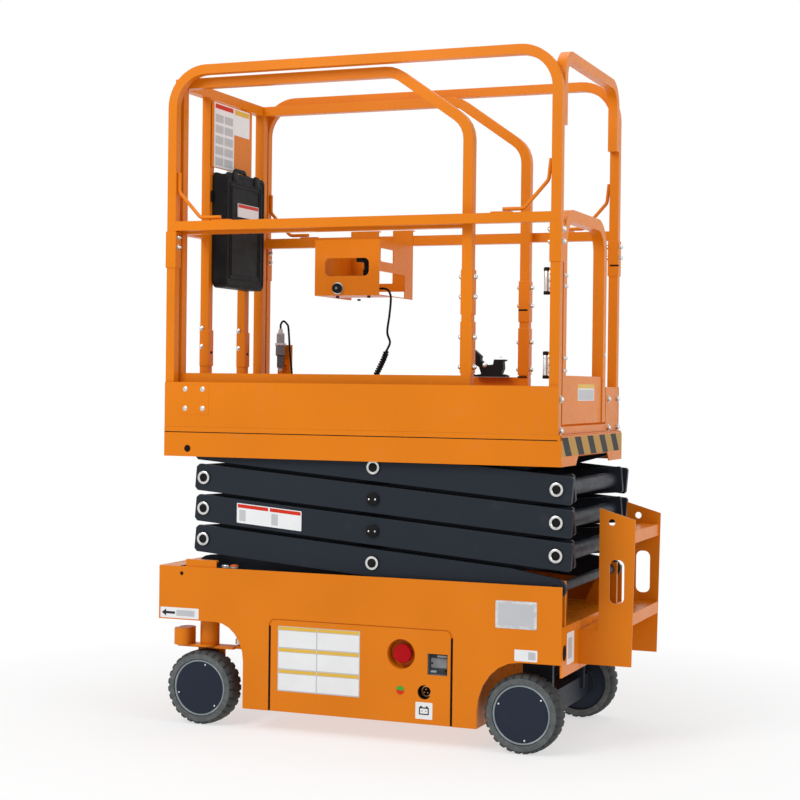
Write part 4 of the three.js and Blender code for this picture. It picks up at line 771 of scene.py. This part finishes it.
def build_door_fittings():
    """The near door's blank sheet of six cells, state light, socket pins, charging sign and
    display, and black strips of painted shade in the gaps beside both doors."""
    face = corners("near_tray_door")[0][1]
    printed = face - 0.3
    parts = [near_film("pale_film", (-351, -57), (139, 354), face, 0.3)]
    for top in (352, 281, 210):
        for x in ((-348, -212), (-208, -60)):
            parts.append(near_film("yellow_film", x, (top - 11, top), printed, INK, 0.5))
            parts.append(near_film("white_film", x, (top - 67, top - 13), printed, INK, 0.5))
    half = np.linspace(0, np.pi, 14)
    for finish, way in (("green_film", 1), ("red_film", -1)):
        rim = np.column_stack([13.5 * np.cos(half), way * (13.5 * np.sin(half) + 0.3)])
        parts.append(put(finish, slab(rim, 1.2), (85, face, 174), "-y"))
    parts += [
        near_film("white_film", (138, 196), (87, 141), face, 0.3),
        near_film("dark_film", (150, 184), (101, 125), printed, INK, 1),
        near_film("white_film", (154, 180), (105, 121), printed - INK, INK, 0.5),
        near_film("dark_film", (154, 161), (125, 129), printed, INK, 0.3),
        near_film("dark_film", (173, 180), (125, 129), printed, INK, 0.3),
        near_film("dark_film", (158, 163), (112, 114), printed - 2 * INK, THIN_INK, 0.1),
        near_film("dark_film", (171, 176), (112, 114), printed - 2 * INK, THIN_INK, 0.1),
    ]
    ring = hoop([(-4, 0), (3, 0), (3, 3), (1, 4.4), (-3, 4.4), (-4, 3)], 17.5, 36)
    pins = [
        (CHARGER_X + 7 * math.cos(a), -351, CHARGER_Z + 7 * math.sin(a))
        for a in np.radians([90, 210, 330])
    ]
    parts += [
        put("copper", ring, (CHARGER_X, -354, CHARGER_Z), "-y"),
        spots("copper", turned([(2.6, 0), (2.6, 11), (1.4, 12.5)], 14), pins, "-y"),
    ]
    piece("door_fittings", "near_door", parts)
    screen = [
        near_film("glass", (179, 243), (233, 295), SCREEN_FACE + 1.6, 1.6, 4),
        near_film("grey_plastic", (184, 238), (252, 283), SCREEN_FACE, 0.6, 3),
        near_film("charge_bars", (205, 237), (286, 292), SCREEN_FACE, 0.5, 1),
        near_film("charge_bars", (183, 203), (236, 243), SCREEN_FACE, 0.5, 1),
        spots("black_plastic", screw(3.5, 2),
              [(188, SCREEN_FACE, 266), (234, SCREEN_FACE, 244)], "-y"),
    ]
    piece("charge_screen", "near_door", screen)
    # black strips in the gaps beside the doors: painted shade where the gaps look black
    strip = slab(rounded(7.0, GAP_SHADE_Z[1] - GAP_SHADE_Z[0], 3.0, 4), 1.2)
    for side, sign, axis in SIDES:
        seals = [put("seal", strip, (x, sign * 376.9, sum(GAP_SHADE_Z) / 2), axis) for x in GAP_SHADE_X]
        piece(f"{side}_door_seals", "chassis", seals)


def build_front_hubs():
    """Round steering bushes and stops on the two front knuckles."""
    collar = turned([(35.5, 0), (35.5, 5), (34, 6.5)], 48)
    stop = turned([(29.3, 0), (29.3, 54), (27.5, 56)], 40)
    for side, sign, _ in SIDES:
        parts = [
            put("orange_paint", stop, (-730, sign * WHEEL_Y, 263.2)),
            put("orange_paint", collar, (WHEEL_X["front"], sign * WHEEL_Y, 263.2)),
        ]
        piece(f"{side}_steering_bush", f"{side}_knuckle", parts)


def build_arm_label():
    """A blank two-part plate on the second outer arm, sheared to the arm's slope."""
    x, slope = -400.0, -PITCH / PIN_SPAN
    middle = np.array([x, -357.0, PIN_LOW + PITCH + (x - PIN_REAR) * slope])

    def sloped(finish, x, z, depth, lift):
        shell, faces = pad(x[1] - x[0], z[1] - z[0], depth, 2, 0.1, 3, 2)
        shell = shell + [(x[0] + x[1]) / 2, (z[0] + z[1]) / 2, lift]
        shell[:, 1] += slope * shell[:, 0]
        return put(finish, (shell, faces), middle, "-y")

    parts = [sloped("white_film", (-119, 119), (-33, 33), FILM, 0)]
    for x in ((-116, -3), (3, 116)):
        parts.append(sloped("red_film", x, (18, 30), INK, FILM))
        parts.append(sloped("pale_film", (x[0] + 6, x[0] + 30), (-26, 12), THIN_INK, FILM))
    piece("arm_label", "outer_2", parts)


def build_platform_plates():
    """Warning stripes on the rear end, the bolted corner plate of the toe board, painted shadow
    along its lower seam and painted shadow for the drain hole of the channel."""
    heads = [(x, NEAR_FACE - 0.9, z) for x in (-707, -641) for z in (1132, 1067)]
    hole = turned([(12, 0), (12, 0.2), (11, 0.3)], 28)
    parts = [
        rear_film("hazard", (-377, 377), (937, 996), PLATFORM_REAR, corner=1),
        near_film("orange_paint", (-724, -618), (1047, 1146), depth=0.9, corner=4),
        spots("zinc", bolt(6.5, 1.6), heads, "-y"),
        # painted shadow: a dark line for the seam and a dark disc for the drain hole
        near_film("shadow", (-785, 598), (985.6, 988.6), NEAR_FACE + 0.1, 0.3, 0.4),
        put("shadow", hole, (-697, NEAR_FACE, 932), "-y"),
    ]
    piece("platform_plates", "platform", parts)


MID_RAIL_TOP = 1700.2


def build_rail_details():
    """Bent corner braces with feet on the mid rails, and painted shadow for a slot in the far rear
    post.
    """
    parts = []
    foot = slab(rounded(70, 22, 3, 3), 4)
    for sign in (-1, 1):
        y = sign * (RAIL_Y - POST / 2)
        for way, top, bend, low, end in (
            (1, RAIL_FRONT + POST + 6, -749, -668, -592),
            (-1, RAIL_REAR - POST - 6, 553, 473, 404),
        ):
            route = [(top, y, 1866), (bend, y, 1800), (low, y, 1712), (end, y, 1712)]
            parts.append(("orange_paint", swept(filleted(route, 26), circle(6.2, 12))))
            parts.append(put("orange_paint", foot, (end + way * 4, y, MID_RAIL_TOP)))
    # a dark pad on the far rear post: painted shadow for a slot
    slot = pad(33, 6, 0.5, 2, 0.1, 3, 2)
    parts.append(put("shadow", slot, (587, RAIL_Y - POST - 3, 1580), "-y"))
    piece("rail_braces", "platform", parts)


HINGE_X, HINGE_Y, HINGE_Z = 547, -346, (1484, 1221)
GATE_FACE = 594.0


def build_gate_fittings():
    """Steel hinges on the near rail's rear post, and the bolts and blank two-tone plate of the
    rear gate."""
    hinges = []
    for z in HINGE_Z:
        knuckle = turned([(7.5, -41), (8.5, -39), (8.5, 39), (7.5, 41)], 24)
        ends = [(HINGE_X, HINGE_Y, z - 37), (HINGE_X, HINGE_Y, z + 37)]
        screws = [(HINGE_X + 13, HINGE_Y - 4.4, z + d) for d in (-22, 0, 22)]
        hinges += [
            put("zinc", pad(26, 66, 5, 2, 1, 3), (HINGE_X + 6, HINGE_Y + 0.5, z), "-y"),
            put("zinc", knuckle, (HINGE_X, HINGE_Y, z)),
            spots("black_plastic", turned([(9.8, -5), (9.8, 5), (7, 7)], 20), ends, "+z"),
            spots("dark_steel", screw(3.2, 1.5), screws, "-y"),
        ]
    piece("gate_hinges", "platform", hinges)

    heads = [(598.2, y, z) for y in (-320, -298) for z in (1504, 1470, 1244, 1205)]
    parts = [
        spots("zinc", bolt(5.2, 4.4), [*heads, (598.2, 177, 1264)], "+x"),
        rear_film("yellow_film", (-138, 64), (1150, 1164), GATE_FACE, 0.3, 2),
        rear_film("white_film", (-138, 64), (1110, 1150), GATE_FACE, 0.3, 2),
        rear_film("pale_film", (-132, 58), (1112, 1146), GATE_FACE + 0.3, THIN_INK, 2),
    ]
    piece("gate_fittings", "gate", parts)


def info_films():
    """Two blank sheets with coloured heads, the wider one with two columns of pale cells."""
    low, high = corners("info_plate")
    x, y0, y1, top = high[0], low[1], high[1], high[2]
    films = [
        ("white_film", (y0 + 14, y0 + 168), (1918, top - 4), x, FILM),
        ("white_film", (y0 + 168.5, y1 - 22), (2050, top - 4), x, FILM),
        ("red_film", (y0 + 20, y0 + 160), (top - 24, top - 8), x + FILM, THIN_INK),
        ("yellow_film", (y0 + 172, y1 - 26), (top - 26, top - 8), x + FILM, THIN_INK),
    ]
    for z in range(1926, 2079, 38):
        for y in ((y0 + 22, y0 + 84), (y0 + 92, y0 + 158)):
            films.append(("pale_film", y, (z, z + 28), x + FILM, THIN_INK))
    return [rear_film(*film, 1) for film in films]


def case_parts():
    """Ridges round the face of the case, two latches, a handle and a blank label."""
    low, high = corners("document_case")
    x, y0, y1, top = high[0], low[1] + 12, high[1], high[2]
    middle = [(y0 + y1) / 2, (low[2] + top) / 2]
    parts = []
    for inset in (10, 34, 48):
        wide, tall = y1 - y0 - 2 * inset, top - low[2] - 2 * inset
        outline = rounded(wide, tall, max(30 - inset, 6), 6) + middle
        rim = np.vstack([outline, outline[:1]])
        route = np.column_stack([np.full(len(rim), x), rim])
        parts.append(("black_plastic", swept(route, circle(2.2, 8))))
    for y in (y0 + 70, y1 - 70):
        parts.append(put("black_plastic", pad(38, 34, 4, 4, 1.5), (x - 0.5, y, top - 12), "+x"))
    grip = [(y0 + 110, top - 2), (y0 + 116, top + 16), (y1 - 116, top + 16), (y1 - 110, top - 2)]
    handle = filleted([(x - 24, *place) for place in grip], 12)
    return parts + [
        ("black_plastic", swept(handle, rounded(8, 16, 3, 3))),
        rear_film("white_film", (y0 + 92, y1 - 52), (1748, 1796), x, 2.6, 2),
        rear_film("red_film", (y0 + 94, y1 - 54), (1782, 1794), x + 2.6, THIN_INK, 1),
    ]


def control_parts():
    """Ribs, a screw and a ring on the bracket's knob, nuts under its floor, and the lever and
    four buttons of the hand control."""
    x, _, z = corners("control_knob").mean(0)
    at = (x, -30.4, z)
    a = np.arange(16) * np.pi / 8
    ribs = np.column_stack([15.6 * np.cos(a), 15.6 * np.sin(a), np.full(16, 3)])
    nuts = [(-318, 6, 1463), (-200, 6, 1463), (-318, 200, 1463)]
    bellows = turned([(15 - 3.4 * (k % 2), 3.2 * k) for k in range(9)] + [(7, 27)], 28)
    lever = turned([(5.5, 0), (5.5, 38), (11, 44), (14, 60), (12.5, 76), (6, 82)], 28)
    button = turned([(6, 0), (6, 2.5), (4.6, 3.6)], 20)
    return [
        put("black_plastic", scattered(turned([(1.6, 0), (1.6, 9), (1, 10)], 8), ribs), at, "-y"),
        put("grey_plastic", turned([(5, 0), (5, 0.8), (4, 1.2)], 16), (x, -44, z), "-y"),
        put("zinc", hoop([(-1.5, 0), (2.5, 0), (2.5, 1.4), (-1.5, 1.4)], 18.5, 36), at, "-y"),
        spots("dark_steel", turned([(6.5, -7), (6.5, -1), (6, 0)], 6), nuts, "+z"),
        put("black_plastic", bellows, (-215, 22, 1530)),
        put("black_plastic", lever, (-215, 22, 1534)),
    ] + [
        put(finish, button, (-322 + 24 * k, 22, 1532))
        for k, finish in enumerate(("grey_plastic", "signal_red", "green_film", "grey_plastic"))
    ]


FRONT_POSTS = (-115.0, 172.0)


def build_extension_details():
    """Bolts of the extension's posts and painted shadow for their slots, its blank sheets, and the
    fittings of the case, the control bracket, the hand control and the pedal."""
    parts = []
    for y in FRONT_POSTS:
        heads = [(-779, y - 19.2, 1346), (-779, y - 19.2, 1282)]
        parts.append(spots("zinc", bolt(6, 5), heads, "-y"))
        # a dark strip on each front post: painted shadow for a slot
        parts.append(rear_film("shadow", (y - 4, y + 11), (1257, 1266), -751.0, 0.3, 1))
    # dark pads on the rear post: painted shadow for slots
    slots = [(272, 289.5, 1424), (272, 289.5, 1188)]
    parts.append(spots("shadow", pad(34, 6, 0.5, 2, 0.1, 3, 2), slots, "-y"))
    parts += info_films() + case_parts()
    piece("extension_plates", "extension", parts)
    piece("control_fittings", "extension", control_parts())
    pedal = [
        spots("zinc", turned([(8, 0), (8, 2), (5, 3)], 20), [(135, 282, 1229)], "-y"),
        spots("zinc", bolt(5, 4), [(190, 297, 1256)], "+z"),
        spots("dark_steel", bolt(5, 3), [(90, 297, 1193), (205, 297, 1193)], "+z"),
    ]
    piece("pedal_fittings", "extension", pedal)


LOZENGE_PITCH, LOZENGE = 26, (20, 7)


def lozenges(x, y):
    """Raised diamonds in rows: corners at half a length along one diagonal and half a width
    along the other, turned a quarter at every other place."""
    gap, (length, width) = LOZENGE_PITCH, LOZENGE
    rows, columns = (np.arange(low + gap, high - gap / 2, gap) for low, high in (x, y))
    i, j = np.meshgrid(rows, columns, indexing="ij")
    odd = (np.indices(i.shape).sum(0) % 2).ravel().astype(bool)
    places = np.stack([i.ravel(), j.ravel(), np.zeros(i.size)], -1)
    shells = []
    for turn, chosen in ((0.785, odd), (-0.785, ~odd)):
        cos, sin = math.cos(turn), math.sin(turn)
        flat = np.array([(length / 2, 0), (0, width / 2), (-length / 2, 0), (0, -width / 2)])
        flat = flat @ np.array([[cos, sin], [-sin, cos]])
        low = np.column_stack([flat, np.full(4, -0.2)])
        high = np.column_stack([flat * 0.7, np.full(4, 0.9)])
        shells.append(scattered(grid(np.array([low, high])), places[chosen]))
    return joined(shells)


def build_treads():
    """Diamond pattern on the walking sheets of the deck and the extension."""
    deck = corners("main_deck")[1][2]
    rear = put("orange_paint", lozenges((332, 558), (-290, 290)), (0, 0, deck))
    piece("deck_tread", "platform", [rear])
    parts = [
        put("orange_paint", lozenges(x, (-256, 256)), (0, 0, EXT_TREAD_Z))
        for x in ((-719, -226), (-222, 218))
    ]
    piece("extension_tread", "extension", parts)


# ------------------------------------------------------------------ control lead
LEAD_DIAMETER = 8.0
COIL_PITCH = 9.0
POINTS_A_TURN = 14
LEAD_STEP = 5.0
EXIT = (-169.0, 5.0, 1487.0)
LEAD_TOP = [
    EXIT, (-157, 5, 1488), (-141, 5, 1488), (-127, 6, 1481), (-119, 8, 1463), (-119, 9, 1437),
    (-124, 10, 1391), (-131, 11, 1337), (-121, 12, 1302), (-131, 12, 1277),
]
LEAD_COIL = [
    LEAD_TOP[-1], (-147, 12, 1237), (-193, 13, 1149), (-235, 20, 1078.5), (-281, 34, 1040.5),
    (-336, 52, 1032.5), (-471, 120, 1032.5), (-560, 186, 1032.5), (-600, 215, 1032.5),
]
LEAD_END = [
    LEAD_COIL[-1], (-618, 231, 1028.5), (-634, 251, 1025.5), (-624, 266, 1029.5),
    (-623, 284, 1075.5), (-623, 290, 1181), (-634, 294, 1271), (-642, 296, 1359),
    (-649, 297, 1377), (-665, 299, 1388), (-676, 300, 1375), (-676, 300, 1359.6),
]


def lead_path(coil_radius):
    """The middle line of the lead: its route, with the coiled run's points moved off the route
    by R(s) (n cos w s + b sin w s), R growing and falling over a turn and a half at its ends."""
    runs = [spline(points, LEAD_STEP) for points in (LEAD_TOP, LEAD_COIL, LEAD_END)]
    route = np.vstack([runs[0][:-1], runs[1][:-1], runs[2]])
    along = np.r_[0, np.cumsum(np.linalg.norm(np.diff(route, axis=0), axis=1))]
    first = len(runs[0]) - 1
    start, end = along[first], along[first + len(runs[1]) - 1]
    dense = np.linspace(start, end, int((end - start) / COIL_PITCH * POINTS_A_TURN))
    s = np.unique(np.r_[along[along < start], dense, along[along > end]])
    p = np.stack([np.interp(s, along, route[:, k]) for k in range(3)], -1)
    _, n, b = frames(p)
    ramp = np.clip(np.minimum(s - start, end - s) / (1.5 * COIL_PITCH), 0, 1)
    radius = coil_radius * ramp**2 * (3 - 2 * ramp)
    w = 2 * np.pi * (s - start) / COIL_PITCH
    return p + (radius * np.cos(w))[:, None] * n + (radius * np.sin(w))[:, None] * b


def build_lead(coil_radius):
    """The spiral lead from the hand control down over the deck and up to its plug, a round
    section swept along lead_path."""
    path = lead_path(coil_radius / MM)
    shell = swept(path, circle(LEAD_DIAMETER / 2, 8))
    solids = ("cord_upper", "cord_coil", "cord_lower")
    lead = piece("control_lead", "extension", [("cord", shell)], solids)


# ------------------------------------------------------------------ stage and camera
WHITE = (1, 1, 1, 1)
FADE = (0.9, 2.2)  # metres from the middle, over which the floor turns into the backdrop
NEAR_GLOW = 0.6  # share of its own light in the floor under the lift
WORLD_LIGHT = 0.5  # of the backdrop on the lift, where the camera sees 1
LAMPS = (  # name, place, aim, size in metres, power in watts
    ("key", (-1.8, -4.6, 4.6), (-0.1, 0, 1.0), 2.6, 170),
    ("fill", (4.6, -1.4, 3.0), (0.1, 0, 1.0), 2.4, 55),
    ("top", (0.2, 0.4, 5.4), (0, 0, 0.6), 2.8, 60),
)


def placed(name, data, at, turn):
    """An object at a place with a quaternion turn, linked to the scene."""
    thing = bpy.data.objects.new(name, data)
    thing.rotation_mode = "QUATERNION"
    thing.location, thing.rotation_quaternion = at, turn
    bpy.context.scene.collection.objects.link(thing)
    return thing


def build_stage(white):
    """A floor that fades to the white world with distance, and three soft lamps."""
    mesh = bpy.data.meshes.new("floor")
    mesh.from_pydata([(-40, -12, 0), (40, -12, 0), (40, 60, 0), (-40, 60, 0)], [], [(0, 1, 2, 3)])
    n = Nodes.of_material("floor_white")
    away = n.add("VectorMath", operation="LENGTH")
    n.put(away.inputs[0], n.place)
    paper, glow, blend = n.add("BsdfDiffuse"), n.add("Emission"), n.add("MixShader")
    n.put(paper.inputs["Color"], (0.9, 0.9, 0.9, 1))
    n.put(glow.inputs["Color"], WHITE)
    n.put(glow.inputs["Strength"], white)
    n.put(blend.inputs[0], n.span(away.outputs["Value"], *FADE, NEAR_GLOW, 1.0))
    n.put(blend.inputs[1], paper.outputs[0])
    n.put(blend.inputs[2], glow.outputs[0])
    n.put(n.add("OutputMaterial").inputs["Surface"], blend.outputs[0])
    mesh.materials.append(n.owner)
    floor = placed("floor", mesh, (0, 0, 0), (1, 0, 0, 0))

    n = Nodes(bpy.data.worlds.new("studio"))
    bpy.context.scene.world = n.owner
    rays = n.add("LightPath").outputs
    seen = n.math("MAXIMUM", rays["Is Camera Ray"], rays["Is Glossy Ray"])
    seen = n.math("MAXIMUM", seen, rays["Is Transmission Ray"])
    sky = n.add("Background")
    n.put(sky.inputs["Color"], WHITE)
    n.put(sky.inputs["Strength"], n.span(seen, 0.0, 1.0, WORLD_LIGHT, 1.0))
    n.put(n.add("OutputWorld").inputs["Surface"], sky.outputs[0])

    for name, at, aim, size, power in LAMPS:
        lamp = bpy.data.lights.new(name, "AREA")
        lamp.size, lamp.energy = size, power
        turn = (Vector(aim) - Vector(at)).to_track_quat("-Z", "Y")
        placed(name, lamp, at, turn)
    bpy.context.scene.view_settings.view_transform = "Standard"


CAMERA_AT = (2.0900, -5.5344, 1.1504)
CAMERA_YAW, CAMERA_DOWN, CAMERA_ROLL = (math.radians(a) for a in (21.7854, 0.42645, 0.68268))
CAMERA_LENS, CAMERA_SHIFT = 77.5579, (0.0153237, -0.0014260)


def build_camera():
    """A camera that looks along forward, with right and up turned about it by the roll."""
    right = np.array([math.cos(CAMERA_YAW), math.sin(CAMERA_YAW), 0])
    level = np.array([-math.sin(CAMERA_YAW), math.cos(CAMERA_YAW), 0])
    forward = math.cos(CAMERA_DOWN) * level - math.sin(CAMERA_DOWN) * np.array([0, 0, 1])
    up = np.cross(right, forward)
    cos, sin = math.cos(CAMERA_ROLL), math.sin(CAMERA_ROLL)
    columns = np.array([cos * right + sin * up, cos * up - sin * right, -forward]).T
    data = bpy.data.cameras.new("camera")
    data.sensor_width, data.lens = 36, CAMERA_LENS
    data.shift_x, data.shift_y = CAMERA_SHIFT
    data.clip_start, data.clip_end = 0.05, 200
    turn = Matrix(columns.tolist()).to_quaternion()
    bpy.context.scene.camera = placed("camera", data, CAMERA_AT, turn)


# ------------------------------------------------------------------ settings, operators, panel
def colour(name, default, words):
    """A colour setting."""
    return bpy.props.FloatVectorProperty(
        name=name, description=words, subtype="COLOR", size=3, min=0, max=1, default=default
    )


class LiftLook(bpy.types.PropertyGroup):
    """What a user may change before the pieces are built."""

    orange: colour("Main paint", (0.69, 0.188, 0.006), "Chassis, platform and rails")
    charcoal: colour("Arm paint", (0.0168, 0.0212, 0.0296), "Scissor arms and axle")
    navy: colour("Wheel cover paint", (0.0168, 0.0232, 0.0382), "Flat covers of the wheels")
    black: colour("Black plastic", (0.012, 0.012, 0.013), "Controls, case and battery")
    tyre: colour("Tyre rubber", (0.11, 0.12, 0.122), "Sidewalls; the tread is half as bright")


class LiftSizes(bpy.types.PropertyGroup):
    """Sizes of the small parts."""

    tread_depth: bpy.props.FloatProperty(
        name="Tread depth", description="Depth of the gaps between tyre lugs",
        default=0.007, min=0.001, max=0.012, unit="LENGTH", subtype="DISTANCE")
    coil_radius: bpy.props.FloatProperty(
        name="Coil radius", description="Middle of the lead to the middle of its coil",
        default=0.0068, min=0.005, max=0.009, unit="LENGTH", subtype="DISTANCE")
    background: bpy.props.FloatProperty(
        name="Background", description="Brightness of the floor's far part and the backdrop",
        default=1.0, min=0.0, max=1.0)


class LIFT_OT_camera(bpy.types.Operator):
    """Places the camera and its lens"""

    bl_idname = "lift.camera"
    bl_label = "Place the camera"

    def execute(self, context):
        build_camera()
        return {"FINISHED"}


class LIFT_OT_finishes(bpy.types.Operator):
    """Makes every finish and dresses the CAD nodes"""

    bl_idname = "lift.finishes"
    bl_label = "Make the finishes"

    def execute(self, context):
        make_finishes(context.scene.lift_look)
        dress_cad()
        return {"FINISHED"}


class LIFT_OT_control_lead(bpy.types.Operator):
    """Builds the coiled lead of the hand control"""

    bl_idname = "lift.control_lead"
    bl_label = "Build the control lead"

    def execute(self, context):
        build_lead(context.scene.lift_sizes.coil_radius)
        return {"FINISHED"}


class LIFT_OT_wheels(bpy.types.Operator):
    """Builds four tyres with lugs and their covers"""

    bl_idname = "lift.wheels"
    bl_label = "Build the wheels"

    def execute(self, context):
        build_wheels(context.scene.lift_sizes.tread_depth)
        return {"FINISHED"}


class LIFT_OT_arm_pins(bpy.types.Operator):
    """Builds the rings on the ends of the arm pins"""

    bl_idname = "lift.arm_pins"
    bl_label = "Build the arm pins"

    def execute(self, context):
        build_pin_rings()
        return {"FINISHED"}


class LIFT_OT_arm_label(bpy.types.Operator):
    """Builds the blank plate of the second arm"""

    bl_idname = "lift.arm_label"
    bl_label = "Build the arm plate"

    def execute(self, context):
        build_arm_label()
        return {"FINISHED"}


class LIFT_OT_chassis_plates(bpy.types.Operator):
    """Builds the plain plates and films of the chassis"""

    bl_idname = "lift.chassis_plates"
    bl_label = "Build the chassis plates"

    def execute(self, context):
        build_chassis_plates()
        return {"FINISHED"}


class LIFT_OT_door_fittings(bpy.types.Operator):
    """Builds the fittings of the near door and both doors' seals"""

    bl_idname = "lift.door_fittings"
    bl_label = "Build the door fittings"

    def execute(self, context):
        build_door_fittings()
        return {"FINISHED"}


class LIFT_OT_steering_bushes(bpy.types.Operator):
    """Builds the collars and stops of the front knuckles"""

    bl_idname = "lift.steering_bushes"
    bl_label = "Build the steering bushes"

    def execute(self, context):
        build_front_hubs()
        return {"FINISHED"}


class LIFT_OT_platform_plates(bpy.types.Operator):
    """Builds the stripes, corner plate and seam of the platform"""

    bl_idname = "lift.platform_plates"
    bl_label = "Build the platform plates"

    def execute(self, context):
        build_platform_plates()
        return {"FINISHED"}


class LIFT_OT_platform_bolts(bpy.types.Operator):
    """Builds the bolts of the guardrails and the rear posts' feet"""

    bl_idname = "lift.platform_bolts"
    bl_label = "Build the guardrail bolts"

    def execute(self, context):
        build_platform_bolts()
        return {"FINISHED"}


class LIFT_OT_rail_braces(bpy.types.Operator):
    """Builds the corner braces of the guardrails"""

    bl_idname = "lift.rail_braces"
    bl_label = "Build the rail braces"

    def execute(self, context):
        build_rail_details()
        return {"FINISHED"}


class LIFT_OT_gate_fittings(bpy.types.Operator):
    """Builds the gate's hinges, bolts and blank plate"""

    bl_idname = "lift.gate_fittings"
    bl_label = "Build the gate fittings"

    def execute(self, context):
        build_gate_fittings()
        return {"FINISHED"}


class LIFT_OT_extension_bolts(bpy.types.Operator):
    """Builds the bolts of the extension's posts"""

    bl_idname = "lift.extension_bolts"
    bl_label = "Build the extension bolts"

    def execute(self, context):
        build_extension_bolts()
        return {"FINISHED"}


class LIFT_OT_extension_details(bpy.types.Operator):
    """Builds the plates, case, bracket and pedal fittings"""

    bl_idname = "lift.extension_details"
    bl_label = "Build the extension details"

    def execute(self, context):
        build_extension_details()
        return {"FINISHED"}


class LIFT_OT_treads(bpy.types.Operator):
    """Builds the diamond pattern of the floors"""

    bl_idname = "lift.treads"
    bl_label = "Build the treads"

    def execute(self, context):
        build_treads()
        return {"FINISHED"}


class LIFT_OT_stage(bpy.types.Operator):
    """Builds the floor, the backdrop light and the lamps"""

    bl_idname = "lift.stage"
    bl_label = "Build the stage"

    def execute(self, context):
        build_stage(context.scene.lift_sizes.background)
        return {"FINISHED"}


STEPS = (
    LIFT_OT_camera,
    LIFT_OT_finishes,
    LIFT_OT_control_lead,
    LIFT_OT_wheels,
    LIFT_OT_arm_pins,
    LIFT_OT_arm_label,
    LIFT_OT_chassis_plates,
    LIFT_OT_door_fittings,
    LIFT_OT_steering_bushes,
    LIFT_OT_platform_plates,
    LIFT_OT_platform_bolts,
    LIFT_OT_rail_braces,
    LIFT_OT_gate_fittings,
    LIFT_OT_extension_bolts,
    LIFT_OT_extension_details,
    LIFT_OT_treads,
    LIFT_OT_stage,
)


class LIFT_PT_panel(bpy.types.Panel):
    """Settings and builders of the scissor lift."""

    bl_idname = "LIFT_PT_panel"
    bl_label = "Scissor Lift"
    bl_space_type = "VIEW_3D"
    bl_region_type = "UI"
    bl_category = "Scissor Lift"

    def draw(self, context):
        for group in (context.scene.lift_look, context.scene.lift_sizes):
            for key in type(group).__annotations__:
                self.layout.prop(group, key)
        for step in STEPS:
            self.layout.operator(step.bl_idname)


CLASSES = (LiftLook, LiftSizes, *STEPS, LIFT_PT_panel)


def register():
    for each in CLASSES:
        bpy.utils.register_class(each)
    bpy.types.Scene.lift_look = bpy.props.PointerProperty(type=LiftLook)
    bpy.types.Scene.lift_sizes = bpy.props.PointerProperty(type=LiftSizes)


def unregister():
    del bpy.types.Scene.lift_look
    del bpy.types.Scene.lift_sizes
    for each in reversed(CLASSES):
        bpy.utils.unregister_class(each)


def main():
    """Registers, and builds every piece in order."""
    register()
    for step in STEPS:
        if getattr(bpy.ops.lift, step.bl_idname.split(".")[1])() != {"FINISHED"}:
            raise RuntimeError(f"{step.bl_idname} did not finish")


if __name__ == "__main__":
    main()
